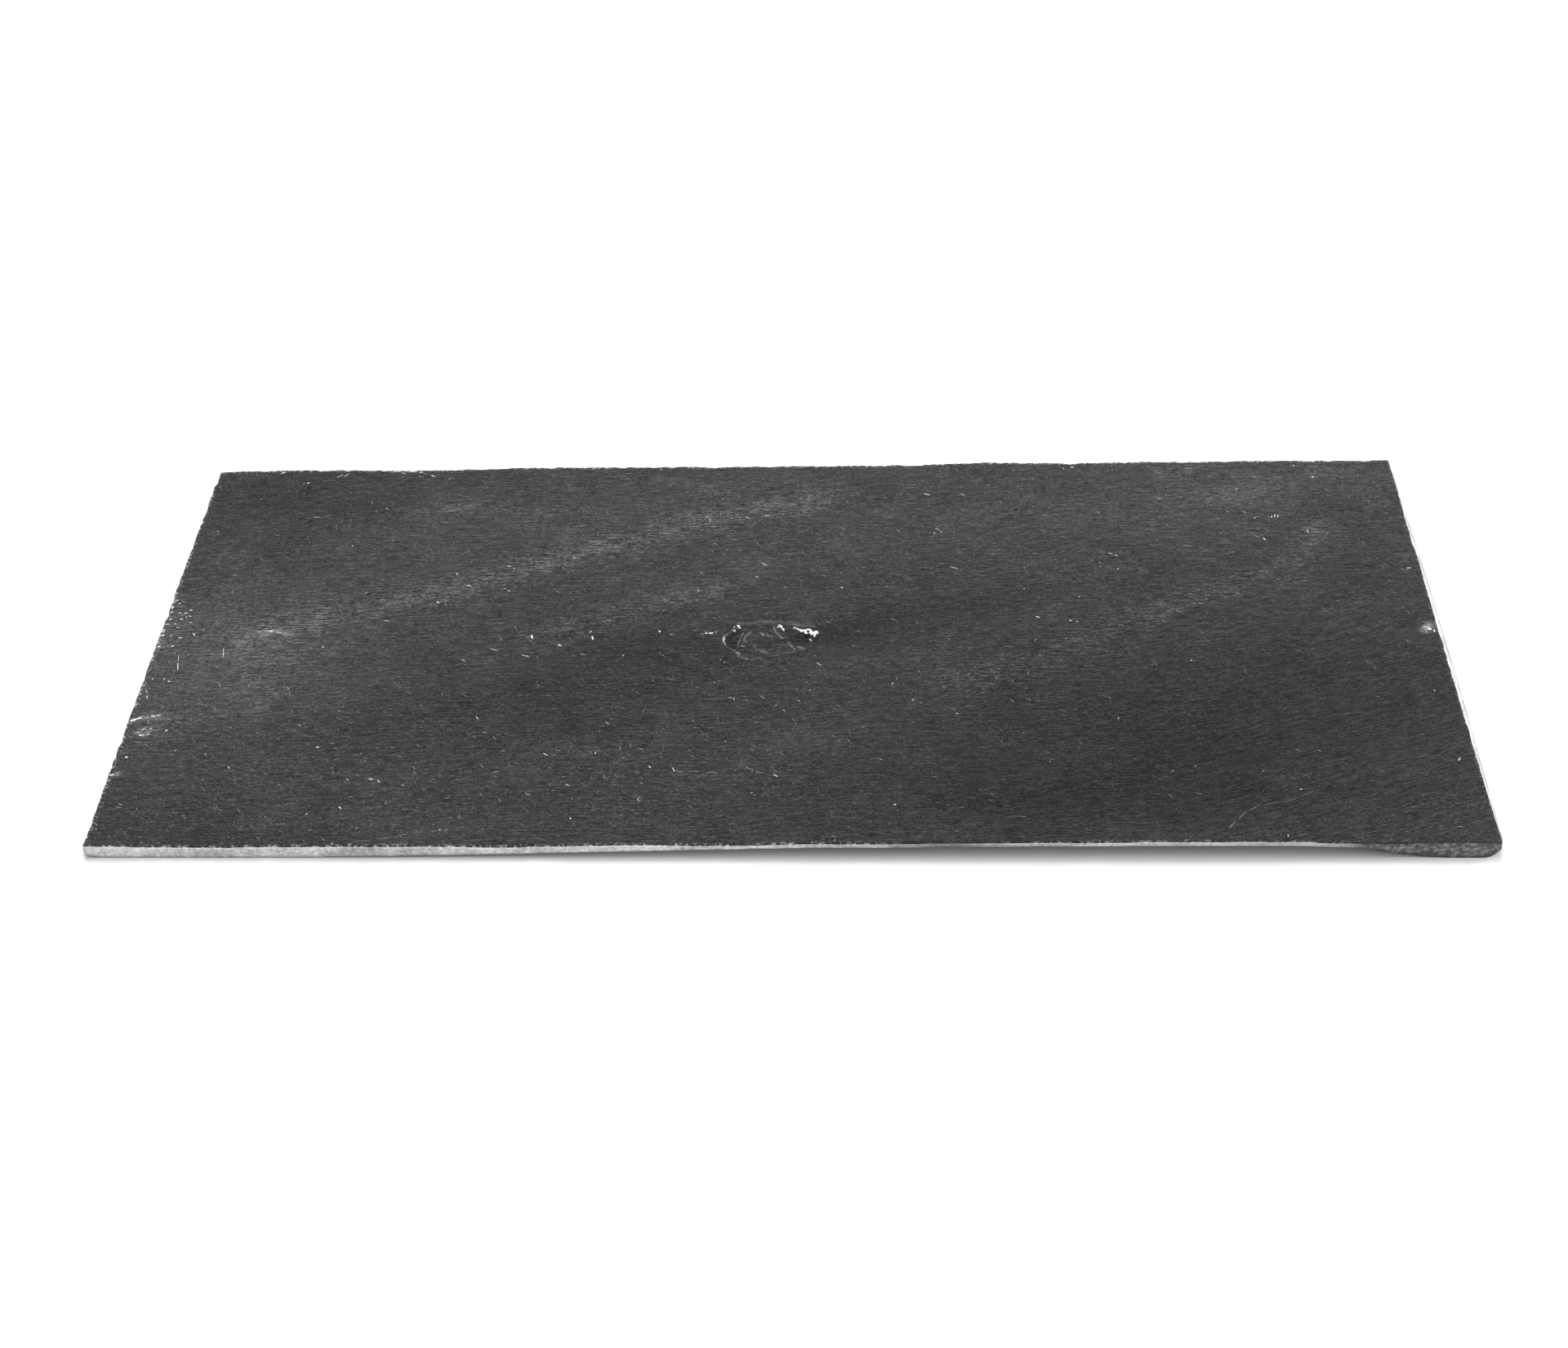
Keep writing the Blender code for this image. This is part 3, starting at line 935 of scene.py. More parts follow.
@dataclass
class SlateSlab:
    """The whole stone: one closed sheet, fine on top, in rows round its edge faces, coarser underneath."""

    length: float = TOP_LENGTH
    left_width: float = 0.2986
    right_width: float = 0.3014
    cells: tuple[int, int] = (352, 162)
    rows: tuple[float, ...] = (1.0, 0.90, 0.74, 0.56, 0.38, 0.20, 0.06, 0.0)
    knot_reach: Place = (0.0285, 0.0200)
    knot_cuts: int = 3
    arris_from: float = 0.55  # the level above which an edge face takes part in the chips
    chip_rows: Spot = (3.0, 7.0, 0.4)  # sets the chips of the ends, of the sides and of all edges apart
    weathered_front: Place = (0.230, 0.248)
    weathered_and_shaded_depth: Place = (-0.140, -0.149)
    weathered_end: Place = (0.292, 0.300)
    weathered_side: Place = (-0.130, -0.143)
    shaded_front: tuple[Spot, ...] = ((0.070, 0.032, 0.75), (0.215, 0.040, 0.38))  # painted shade on the front edge face over the hollow: middle, spread and share
    unchipped_end: float = 0.6  # how much of the white chipping the right end lacks
    lean: float = 0.060  # of the fine grain to the slab's length
    waver: float = 0.004
    waver_size: Place = (0.090, 0.060)
    bow: float = 0.25  # of the fine grain, upwards from bow_start on
    bow_start: float = 0.165
    bow_length: float = 0.135
    bow_power: float = 1.6
    bow_fade: Place = (0.10, -0.06)
    knot: Knot = field(default_factory=Knot)
    tones: StoneTones = field(default_factory=StoneTones)

    def __post_init__(self) -> None:
        """Makes the faces and the rim that share the slab's size."""
        self.width = (self.left_width + self.right_width) / 2
        self.face = RivenFace(self.length, self.width, self.knot)
        self.under = Underside(self.face)
        self.rim = DressedRim(self.width)

    def flat_net(self) -> tuple[Numbers, list[list[int]], int]:
        """The net before it is shaped. Its third coordinate is the level: 1 on top, 0 underneath.

        Returns:
            The points, the faces, and how many of the first faces make up the top.
        """
        columns, lines = self.cells
        xs = np.linspace(-self.length / 2, self.length / 2, columns + 1)
        ys = np.linspace(-self.width / 2, self.width / 2, lines + 1)
        grid_x, grid_y = np.meshgrid(xs, ys, indexing="ij")
        points = [np.stack([grid_x.ravel(), grid_y.ravel(), np.ones(grid_x.size)], axis=1)]
        top = np.arange(grid_x.size).reshape(columns + 1, lines + 1)
        round_rim = np.concatenate([top[:-1, 0], top[-1, :-1], top[:0:-1, -1], top[0, :0:-1]])
        corners = [top[:-1, :-1], top[1:, :-1], top[1:, 1:], top[:-1, 1:]]
        faces = np.stack(corners, axis=-1).reshape(-1, 4).tolist()
        top_count = len(faces)
        upper, count = round_rim, grid_x.size
        for level in self.rows[1:]:
            row = points[0][round_rim].copy()
            row[:, 2] = level
            lower = np.arange(count, count + len(row))
            faces += np.stack([upper, lower, np.roll(lower, -1), np.roll(upper, -1)], axis=-1).tolist()
            points.append(row)
            upper, count = lower, count + len(row)
        below = np.full(top.shape, -1)
        below.flat[round_rim] = upper
        inner = np.zeros(top.shape, dtype=bool)
        inner[2:-1:2, 2:-1:2] = True
        below[inner] = np.arange(count, count + inner.sum())
        points.append(np.stack([grid_x[inner], grid_y[inner], np.zeros(inner.sum())], axis=1))
        for i in range(0, columns, 2):
            for j in range(0, lines, 2):
                loop = [below[i, j], below[i, j + 1] if i == 0 else -1, below[i, j + 2],
                        below[i + 1, j + 2] if j == lines - 2 else -1, below[i + 2, j + 2],
                        below[i + 2, j + 1] if i == columns - 2 else -1, below[i + 2, j],
                        below[i + 1, j] if j == 0 else -1]
                faces.append([int(point) for point in loop if point >= 0])
        return np.concatenate(points), faces, top_count

    def by_knot(self, place: Vector) -> bool:
        """Whether a point of the flat net is on top and beside the knot."""
        off_x, off_y = abs(place.x - self.knot.x), abs(place.y - self.knot.y)
        return place.z > ON_TOP and off_x < self.knot_reach[0] and off_y < self.knot_reach[1]

    def shaped(self, flat: Numbers) -> Numbers:
        """Moves the flat net's points to the stone's surface.

        Args:
            flat: the net's points, one row each.

        Returns:
            The same points in their places, measured from the middle of the top face.
        """
        x, y, level = flat.T
        top = self.face.height(x, y)
        under = self.under.height(x, y, top)
        end = np.where(np.isclose(np.abs(x), self.length / 2), np.sign(x), 0.0)
        side = np.where(np.isclose(np.abs(y), self.width / 2), np.sign(y), 0.0)
        on_rim = (end != 0.0) | (side != 0.0)
        row = self.chip_rows[0] * end + self.chip_rows[1] * side + self.chip_rows[2]
        arris = np.where(on_rim, smooth(self.arris_from, 1.0, level), 0.0)
        chip = arris * self.rim.chip_depth(np.where(end != 0.0, y, x), row)
        chip = chip * np.where(end > 0.0, self.rim.right_chip_share, 1.0)
        rough = np.where(on_rim, self.rim.face_depth(x, y, level), 0.0)
        top = top - np.where(level > ON_TOP, self.rim.chip_drop * chip, 0.0)
        width = self.left_width + (self.right_width - self.left_width) * (x / self.length + 0.5)
        out = self.rim.foot_reach(y) * (1.0 - level) + self.rim.arris_reach * level
        moved_x = x - end * (chip + rough) + np.where(end > 0.0, out, 0.0)
        moved_y = y * width / self.width - side * (chip + rough)
        return np.stack([moved_x, moved_y, under + level * (top - under)], axis=1)

    def grain_field(self, x: Numbers, y: Numbers) -> Numbers:
        """Distances along and across the fine grain, which bows up towards the right end.

        Args:
            x: places along the slab.
            y: places across it.

        Returns:
            One vector per place, whose third number is 0.
        """
        past = np.maximum(0.0, x - self.bow_start)
        bow = self.bow * past * (past / self.bow_length) ** (self.bow_power - 1.0) * smooth(*self.bow_fade, y)
        waver = self.waver * noise(x / self.waver_size[0], y / self.waver_size[1], Seed.STREAK)
        lean = self.lean * x + waver
        return np.stack([x, y - lean - bow, np.zeros_like(x)], axis=-1)

    def build(self, finishes: Sequence[bpy.types.Material]) -> bpy.types.Object:
        """Makes the stone, puts its tones on it and dresses it.

        Args:
            finishes: of the riven faces, and of the dressed edge faces.

        Returns:
            The slab's object.
        """
        points, faces, top_count = self.flat_net()
        data = new_mesh("slate_slab", points, faces)
        data.polygons.foreach_set("material_index", [0 if i < top_count else 1 for i in range(len(faces))])
        mesh = bmesh.new()
        mesh.from_mesh(data)
        near = [edge for edge in mesh.edges if all(self.by_knot(point.co) for point in edge.verts)]
        bmesh.ops.subdivide_edges(mesh, edges=near, cuts=self.knot_cuts, use_grid_fill=True)
        bmesh.ops.triangulate(mesh, faces=[face for face in mesh.faces if len(face.verts) > 4])
        for face in mesh.faces:
            face.smooth = True
            if all(point.co.z < UNDERNEATH for point in face.verts):
                face.material_index = 0
        mesh.to_mesh(data)
        mesh.free()
        flat = mesh_points(data)
        x, y, level = flat.T
        self.add_tones(data, x, y, level)
        data.vertices.foreach_set("co", inside_slab("slate slab", move_to_box(self.shaped(flat))).ravel())
        data.update()
        for finish in finishes:
            data.materials.append(finish)
        piece = link_piece("slate_slab", data)
        triangles = sum(len(face.vertices) - 2 for face in data.polygons)
        log.info("slate slab: %d points, %d triangles", len(data.vertices), triangles)
        return piece

    def add_tones(self, data: bpy.types.Mesh, x: Numbers, y: Numbers, level: Numbers) -> None:
        """Puts what the finishes read on the slab's points.

        Args:
            data: the slab's mesh.
            x: the points' places along the flat net.
            y: their places across it.
            level: their places between the lower face, 0, and the upper face, 1.
        """
        on_top = level > ON_TOP
        from_rim = np.minimum(self.length / 2 - np.abs(x), self.width / 2 - np.abs(y))
        front_end = smooth(*self.weathered_front, x) * smooth(*self.weathered_and_shaded_depth, y)
        weather_and_shade = front_end + smooth(*self.weathered_end, x) * smooth(*self.weathered_side, y)
        # These stretches paint the shade of the hollow onto the front edge face, where the edge is thinnest;
        # the corner's weathering is the stone's own.
        for middle, spread, share in self.shaded_front:
            weather_and_shade = weather_and_shade + share * bell(x - middle, spread) * smooth(*self.weathered_and_shaded_depth, y)
        add_values(data, "tone", np.where(on_top, self.tones.tone(x, y), self.tones.underside))
        add_values(data, "dust", np.where(on_top, self.tones.dust(x, y), 0.0))
        weather_and_shade = np.clip(weather_and_shade, 0.0, 1.0)
        unchipped = np.clip(weather_and_shade + self.unchipped_end * smooth(*self.weathered_end, x), 0.0, 1.0)
        add_values(data, "rim", np.where(on_top, from_rim + CHIPPED * unchipped, 1.0))
        add_values(data, "weather_and_shade", weather_and_shade)
        add_values(data, "grain", self.grain_field(x, y))
        add_values(data, "level", level)


@dataclass(frozen=True)
class Splinter:
    """A pale sliver of stone that lies on the face. Its sizes are in millimetres and its turn in degrees."""

    x: float
    y: float
    length: float
    turn: float
    width: float
    pale: float


@dataclass
class Splinters:
    """The pale slivers and flecks on the riven face, the ones that stand out and a scatter of finer ones, and
    a few dark slivers that are painted shade of pits.
    """

    stone: SlateSlab
    thickness: float = 0.00011
    sunk: float = 0.00005
    bend: float = 0.0003
    slimness: float = 0.80  # a sliver's glare makes it look wider than it is
    tries: int = 60000
    base_share: float = 0.008
    dust_share: float = 0.26
    fine_length: Place = (1.1, 4.4)  # in millimetres, and so is the width
    fine_width: Place = (0.18, 0.32)
    fine_pale: Place = (0.34, 0.72)
    fine_turn: Place = (-36.0, 28.0)  # degrees: the middle one, and how far they stray
    fine_bias: Spot = (1.8, 1.0, 2.0)  # of the three ranges above: over 1, most are at the low end
    margin: float = 0.001
    sides: int = 6
    radii: Place = (0.5, 0.3)  # of a sliver's foot and of its top, as shares of its length and width
    fields: tuple[Patch, ...] = (
        Patch((-282, -20), (22, 60), 0, 0.16),
        Patch((-294, 14), (9, 20), 0, 0.35),
        Patch((-289, -66), (12, 9), 0, 0.60),
        Patch((-250, -110), (60, 40), 0, 0.17),
        Patch((-150, -60), (150, 60), 0, 0.028),
        Patch((0, -70), (60, 60), 0, 0.035),
        Patch((0, 20), (46, 24), 0, 0.035),
        Patch((-60, -92), (70, 16), -6, 0.14),
        Patch((-120, -112), (70, 26), 4, 0.10),
        Patch((-180, -104), (26, 9), -6, 0.14),
        Patch((-150, -138), (30, 6), 6, 0.20),
        Patch((-30, -40), (80, 30), 0, 0.05),
        Patch((-30, 60), (110, 40), 15, 0.07),
        Patch((70, 60), (60, 30), 0, 0.04),
        Patch((225, 120), (34, 16), 5, 0.16),
        Patch((225, 84), (14, 10), 0, 0.10),
        Patch((-220, 110), (50, 26), 0, 0.08),
        Patch((-200, 146), (24, 4), 0, 0.40),
        Patch((98, -42), (18, 14), 0, 0.10),
        Patch((120, 18), (36, 16), 0, 0.03),
        Patch((290, 40), (12, 60), 0, 0.03),
    )
    named: tuple[tuple[float, ...], ...] = (  # each row is a Splinter's values, in their order
        (-297, 134, 1.6, 40, 0.9, 0.55), (-266.5, 147.2, 4.0, 40, 1.1, 0.85),
        (-252, 137.4, 1.8, 20, 1.3, 0.9), (-254, 136.4, 2.4, 15, 0.6, 0.5),
        (-233.2, 144.6, 6.0, 50, 0.6, 0.80), (-236.6, 143.8, 6.2, 50, 0.6, 0.75),
        (-280, 145.6, 3.0, 75, 0.5, 0.35), (-252, 123, 1.8, 10, 1.0, 0.32), (-216, 118, 1.6, 80, 1.1, 0.6),
        (-207.6, 112.6, 2.6, -50, 0.8, 0.6), (-212.8, 110.6, 1.4, 0, 0.8, 0.5),
        (-242, 105.4, 5.6, 3, 0.8, 0.6), (-236.5, 106.6, 4.2, 24, 0.6, 0.45),
        (-231, 97.4, 1.5, 60, 1.0, 0.5), (-290, 93.4, 1.8, -10, 1.1, 0.5), (-290.5, 117, 3.0, 85, 0.7, 0.3),
        (-260, 94.6, 1.2, 40, 0.8, 0.4), (-219.8, 78.8, 1.0, 0, 0.9, 0.9), (-242, 82.4, 1.0, 30, 0.8, 0.4),
        (-170, 82, 1.6, -20, 0.7, 0.45), (-188.4, 143.6, 3.4, -32, 1.0, 0.95),
        (-195, 143.2, 3.0, -30, 0.6, 0.5), (-179.4, 140.4, 1.6, 10, 0.9, 0.7),
        (-177.6, 140.4, 1.2, 60, 0.6, 0.5), (-156, 124, 1.2, 80, 0.6, 0.5),
        (-127.5, 94.2, 5.8, -35, 0.35, 0.4), (-101, 105.4, 1.0, 0, 0.8, 0.5),
        (-152, 90, 1.0, 80, 0.5, 0.55), (-161, 73, 1.4, -50, 0.6, 0.5), (-159, 64, 0.8, 0, 0.7, 0.7),
        (-140, 60.4, 3.4, -24, 0.6, 0.95), (-137.2, 58.4, 2.2, -55, 0.7, 0.95),
        (-108.6, 67.8, 2.6, -58, 0.7, 0.8), (-113.4, 65.6, 1.6, 10, 0.7, 0.7),
        (-164.6, 53.4, 3.4, -62, 0.6, 0.9), (-128, 56.2, 5.4, 0, 0.4, 0.5),
        (-121, 55.6, 6.4, -8, 0.5, 0.62), (-157.6, 43.4, 3.8, -22, 0.8, 0.95),
        (-139.8, 40, 2.6, -25, 0.5, 0.7), (-137.6, 38.4, 2.8, -40, 0.6, 0.85),
        (-170.8, 29.2, 3.0, -42, 1.0, 0.95), (-168, 38, 1.4, -40, 0.6, 0.6),
        (-197, 26.2, 1.2, 30, 0.6, 0.6), (-193.4, 14.6, 3.8, -16, 0.6, 0.8),
        (-184.6, 50.2, 6.0, 4, 0.4, 0.35), (-155.6, 55.6, 5.4, 4, 0.4, 0.4),
        (-107.6, 37.4, 3.0, -30, 0.5, 0.4), (-119.6, 33.4, 2.2, -60, 0.5, 0.45),
        (-247.4, 7.0, 3.4, -14, 1.3, 0.95), (-243.6, 6.0, 5.0, -16, 0.7, 0.75),
        (-239, 4.8, 3.0, -14, 0.4, 0.5), (-229, 9.4, 4.2, 4, 0.4, 0.4), (-222, 9.2, 2.6, -4, 0.35, 0.35),
        (-283.8, 5, 2.6, -50, 1.0, 1.0), (-298, 33, 2.6, 8, 0.9, 1.0), (-296, 30.4, 2.0, -6, 0.8, 0.95),
        (-299, 27.6, 2.0, 16, 0.9, 0.9), (-289.4, 25, 1.8, 6, 1.1, 1.0), (-291.4, 22.6, 2.6, -8, 0.9, 1.0),
        (-294.4, 23.2, 2.0, 12, 0.8, 0.9), (-299.2, 23.6, 2.8, 17, 0.9, 1.0),
        (-297.8, 18, 1.6, 0, 1.0, 1.0), (-292.6, 18, 2.2, 7, 1.0, 1.0), (-288.8, 20, 2.4, -12, 0.7, 0.9),
        (-290.4, 19.4, 1.6, 0, 0.8, 0.9), (-299.4, 13.8, 2.8, 2, 0.8, 1.0), (-294.6, 14, 1.8, -4, 0.8, 0.9),
        (-287.4, 14.6, 1.8, 14, 0.8, 0.95), (-299.2, 7.2, 2.4, 50, 1.1, 1.0),
        (-298.6, 4.4, 2.4, -20, 1.1, 1.0), (-294.6, 4, 1.8, 4, 0.9, 0.9), (-290, 2.2, 2.2, 2, 0.9, 1.0),
        (-293, 10.8, 1.6, 10, 0.8, 0.85), (-298.4, -4.8, 2.4, 8, 1.5, 1.0), (-292, -4.4, 1.8, 20, 1.1, 1.0),
        (-289.8, -10, 1.4, 80, 0.6, 0.7), (-287.2, -14, 8.0, -80, 0.35, 0.80),
        (-286, -21, 8.4, -78, 0.55, 0.95), (-266.8, -10, 10.0, -81, 0.5, 0.90),
        (-274, -38, 14.0, -78, 0.3, 0.3), (-280.4, -20, 9.0, -84, 0.5, 0.3),
        (-220.4, -6, 1.4, 70, 0.8, 0.95), (-199, -4.2, 8.0, -24, 0.35, 0.35),
        (-137, -0.8, 1.8, 10, 1.2, 0.45), (-139.4, -8.8, 6.0, -26, 0.6, 0.85),
        (-124.6, -13.4, 5.4, -28, 0.6, 0.75), (-123, -14, 2.6, -50, 0.6, 0.7),
        (-152.8, -17, 3.0, -36, 0.6, 0.8), (-97.4, -12.8, 4.8, -20, 0.5, 0.7),
        (-222.4, -24.8, 10.0, 20, 0.35, 0.4), (-263.6, -35, 3.6, -75, 0.5, 0.6),
        (-296, -30, 1.8, -60, 0.7, 0.8), (-287.8, -31.8, 2.0, -30, 1.0, 0.95),
        (-290.4, -30.2, 1.4, 60, 0.6, 0.8), (-299, -35, 2.0, 15, 0.7, 0.8),
        (-296.6, -39.6, 4.0, -62, 0.5, 0.8), (-295.4, -44, 3.6, -80, 0.6, 0.9),
        (-249.6, -36, 2.0, 70, 0.9, 0.5), (-231.6, -37, 4.2, -58, 0.5, 0.6),
        (-230, -41.2, 4.0, -88, 0.5, 0.5), (-148.6, -44.8, 6.4, -34, 0.4, 0.5),
        (-168, -51.8, 1.4, -40, 0.5, 0.55), (-298.2, -61.4, 4.2, 22, 2.0, 1.0),
        (-295.4, -60, 3.6, 30, 1.4, 1.0), (-289.4, -58.2, 3.0, 12, 1.3, 1.0),
        (-287, -57.4, 3.0, 10, 0.9, 1.0), (-281.6, -60.4, 5.0, -28, 0.5, 0.55),
        (-277, -62.6, 4.0, -10, 0.5, 0.5), (-291.8, -68.4, 3.4, 62, 0.7, 0.9),
        (-288.6, -67.4, 2.6, -35, 0.7, 0.9), (-291.6, -72.6, 3.8, 8, 1.2, 1.0),
        (-288.8, -71.8, 3.0, 40, 0.7, 0.9), (-293.6, -70.4, 2.0, -60, 0.5, 0.8),
        (-281, -69, 1.6, 20, 1.3, 1.0), (-221, -66, 3.0, -36, 0.5, 0.85),
        (-141.2, -60.6, 3.6, -62, 0.7, 0.75), (-136.4, -72, 2.8, -22, 0.5, 0.7),
        (-273.8, -83.4, 1.8, 80, 1.1, 0.6), (-259.8, -86.2, 2.6, -58, 0.5, 0.75),
        (-294.8, -88.4, 1.8, 20, 1.5, 0.95), (-210.2, -81.6, 1.8, 0, 1.2, 1.0),
        (-190, -86, 1.6, 30, 0.8, 0.5), (-187.6, -91, 2.2, -50, 0.5, 0.6),
        (-107.6, -87.2, 3.8, -38, 0.6, 0.95), (-247.4, -95.8, 2.0, -60, 1.4, 0.6),
        (-298.8, -100.8, 2.8, 28, 1.2, 0.95), (-193.4, -103.6, 1.8, -50, 0.7, 0.8),
        (-183, -103.4, 3.0, -10, 1.0, 0.8), (-179.4, -104.8, 2.8, -50, 0.8, 0.8),
        (-168.2, -107.8, 2.8, -36, 0.4, 0.8), (-128.6, -99.6, 4.0, 14, 0.6, 0.6),
        (-112.6, -114.8, 3.8, -28, 0.5, 0.65), (-124.4, -118.4, 2.8, -56, 0.5, 0.6),
        (-165, -124.6, 2.6, -10, 0.7, 0.5), (-193.6, -123, 2.8, -50, 0.8, 1.0),
        (-207.4, -127, 1.6, 80, 1.2, 0.7), (-290, -121, 1.0, 0, 0.8, 0.8),
        (-247.6, -122, 1.6, -60, 0.5, 0.6), (-285, -116, 3.6, -28, 0.5, 0.45),
        (-184, -137.4, 1.4, 40, 0.6, 0.7), (-204, -138.4, 1.4, 20, 0.7, 0.5),
        (-179, -145.6, 8.0, 10, 0.4, 0.4), (-171, -144, 8.0, 12, 0.4, 0.5),
        (-163.6, -142, 8.0, 17, 0.4, 0.55), (-157, -140, 6.0, 14, 0.4, 0.45),
        (-148, -138.4, 2.0, 70, 1.0, 0.6), (-145.4, -138.6, 2.2, 40, 0.8, 0.55),
        (-150.6, -139.4, 1.8, -30, 0.6, 0.5), (-193, -147.2, 1.4, 20, 0.8, 0.8),
        (-297, -137, 1.6, -40, 0.7, 0.6), (-71, 147.2, 1.6, 80, 0.8, 0.9),
        (-38, 118.8, 2.6, -50, 0.5, 0.55), (-45, 102.8, 2.6, -20, 0.6, 0.7),
        (-43.4, 100.2, 4.0, -88, 0.6, 0.7), (-25, 102, 2.6, 12, 0.7, 0.75),
        (-15.2, 103.8, 4.4, 6, 1.0, 0.6), (65, 121.6, 4.4, -26, 0.8, 0.9), (83, 120.8, 4.4, -52, 0.5, 0.75),
        (76.4, 145.6, 4.4, -40, 0.4, 0.5), (80.6, 144.2, 4.0, -76, 0.4, 0.5),
        (69.8, 91, 4.0, -36, 0.5, 0.8), (71.4, 88.6, 2.4, -80, 0.6, 0.8), (68.2, 87.6, 1.4, 80, 0.8, 1.0),
        (78, 88, 2.2, -50, 0.5, 0.5), (14, 79.4, 3.6, 4, 0.9, 0.45), (37.6, 63.6, 5.6, -36, 0.35, 0.55),
        (34.2, 67.2, 4.0, -78, 0.3, 0.4), (48, 71, 1.6, -50, 0.6, 0.5), (-15, 60.4, 5.6, -42, 0.6, 0.85),
        (76.8, 56.4, 5.4, -22, 0.6, 0.85), (84.6, 53.4, 9.0, -14, 0.3, 0.45),
        (-18.4, 49.8, 1.8, 10, 0.7, 0.8), (-45.6, 54, 2.2, -70, 0.5, 0.6), (22.8, 40, 2.4, -40, 0.9, 0.85),
        (-46, 38.2, 3.2, -62, 0.5, 0.7), (-75, 39, 1.6, 0, 0.7, 0.6), (47.2, 13.8, 4.4, -30, 0.35, 0.6),
        (58.4, 11, 1.6, 20, 0.6, 0.6), (22.4, 52.8, 1.8, -60, 0.5, 0.5), (33.4, 56.8, 1.4, 0, 0.6, 0.6),
        (-78.4, -14, 2.2, 70, 1.0, 0.55), (-33, -17.6, 1.6, -50, 0.6, 0.7), (-31, -19.4, 1.6, 60, 0.6, 0.7),
        (12.8, -21.6, 4.4, -42, 0.5, 0.9), (-54.6, -32.4, 3.4, -20, 0.4, 0.5),
        (-35, -34.4, 0.8, 0, 0.7, 0.9), (46.6, -36.6, 1.2, 70, 0.9, 1.0), (9, -42, 0.8, 60, 0.7, 0.9),
        (-27, -47.4, 3.0, -30, 0.5, 0.8), (-25.4, -48.4, 1.8, -72, 0.7, 0.9),
        (-19.8, -50, 2.8, -72, 0.5, 0.5), (-12.6, -47.2, 3.6, -42, 0.5, 0.6), (4, -50, 2.2, -38, 0.6, 0.7),
        (55.6, -49.2, 1.0, 0, 0.9, 1.0), (75.4, -59.2, 1.0, 0, 0.8, 0.9), (-2.4, -57, 1.8, -60, 0.7, 0.6),
        (-81.8, -65.8, 3.8, -55, 0.6, 0.6), (-43, -64.4, 0.7, 0, 0.6, 0.7), (3, -65.8, 0.7, 0, 0.6, 0.7),
        (20, -75.6, 2.8, -44, 0.5, 0.6), (-28, -78.8, 1.0, -60, 0.7, 0.9), (-36, -76, 2.0, -70, 0.4, 0.5),
        (-85.4, -86.4, 1.8, 80, 0.7, 1.0), (-74.6, -83.4, 4.0, -75, 0.5, 0.5),
        (-65.4, -84, 4.0, -26, 0.5, 0.6), (-60.6, -96.8, 2.6, -60, 0.6, 0.85),
        (-50, -98.4, 4.4, -64, 0.6, 0.85), (-41, -100, 7.0, -4, 0.4, 0.5), (-33, -100.6, 8.0, -6, 0.4, 0.5),
        (-17, -98, 5.6, -40, 0.4, 0.6), (-12.4, -100.4, 5.4, -20, 0.4, 0.6),
        (-5, -102.8, 3.6, -40, 0.7, 0.95), (-98, -103, 1.8, 20, 0.5, 0.6),
        (-95.8, -108.8, 2.8, -30, 0.6, 0.9), (-64, -119.8, 3.2, -68, 0.5, 0.85),
        (-92.4, -131.8, 1.4, 70, 0.9, 0.9), (-42, -120.4, 4.6, -22, 0.3, 0.5),
        (-15, -114.4, 0.8, 0, 0.7, 0.95), (47, -124.4, 1.4, 0, 1.1, 1.0), (48, -128.2, 0.7, 0, 0.6, 0.6),
        (27, -139, 0.7, 0, 0.6, 0.7), (20.6, -145, 3.0, 10, 0.9, 0.4), (21.4, -147.4, 2.4, 88, 0.4, 0.6),
        (4.6, -119.6, 3.4, -38, 0.3, 0.45), (101.4, -35.8, 3.0, -70, 0.4, 0.5),
        (93.8, -34, 2.4, -80, 0.4, 0.4), (100.6, -49.6, 3.6, -50, 0.4, 0.55),
        (135, 145.2, 1.2, 0, 0.9, 0.8), (139.6, 146.2, 2.6, 4, 1.1, 0.9),
        (230.6, 135.6, 3.2, -60, 0.4, 0.5), (252, 145.6, 2.4, -82, 0.6, 0.95),
        (260.6, 135.6, 6.0, 4, 0.6, 0.6), (260.2, 135.6, 2.0, 70, 1.0, 0.85),
        (220.6, 124.8, 1.6, 70, 0.7, 0.85), (235, 124.8, 3.0, -52, 0.5, 0.6),
        (265.4, 122.4, 1.2, -60, 0.6, 0.6), (181, 116, 3.0, 10, 0.8, 0.6), (219.8, 111, 2.8, -60, 0.5, 0.6),
        (222.2, 103.2, 3.2, -54, 0.5, 0.7), (150, 103.4, 2.0, -62, 0.6, 0.6),
        (284.4, 107, 8.0, 0, 0.35, 0.4), (226.6, 97.8, 1.8, 40, 1.0, 0.85), (235, 98.4, 2.8, 72, 0.6, 0.85),
        (236.6, 99, 3.4, 76, 0.6, 0.9), (238.2, 98.8, 3.0, 74, 0.5, 0.9), (233.6, 97.6, 1.6, 70, 0.4, 0.6),
        (182.8, 92, 2.8, 52, 0.5, 0.6), (226, 82, 5.0, -26, 0.6, 0.5), (229.2, 79.8, 3.4, -62, 0.8, 0.85),
        (251.2, 86, 3.8, -84, 0.6, 0.85), (255, 86.8, 7.0, 10, 0.3, 0.4), (275, 79, 1.8, -50, 0.6, 0.5),
        (277, 76, 2.4, -52, 0.6, 0.45), (212.6, 69, 5.0, 4, 0.5, 0.5), (153.4, 67, 3.0, -32, 0.5, 0.8),
        (156, 65.4, 2.8, -46, 0.7, 0.8), (149, 68.4, 3.0, -30, 0.3, 0.5), (144, 61.6, 1.2, -50, 0.7, 0.7),
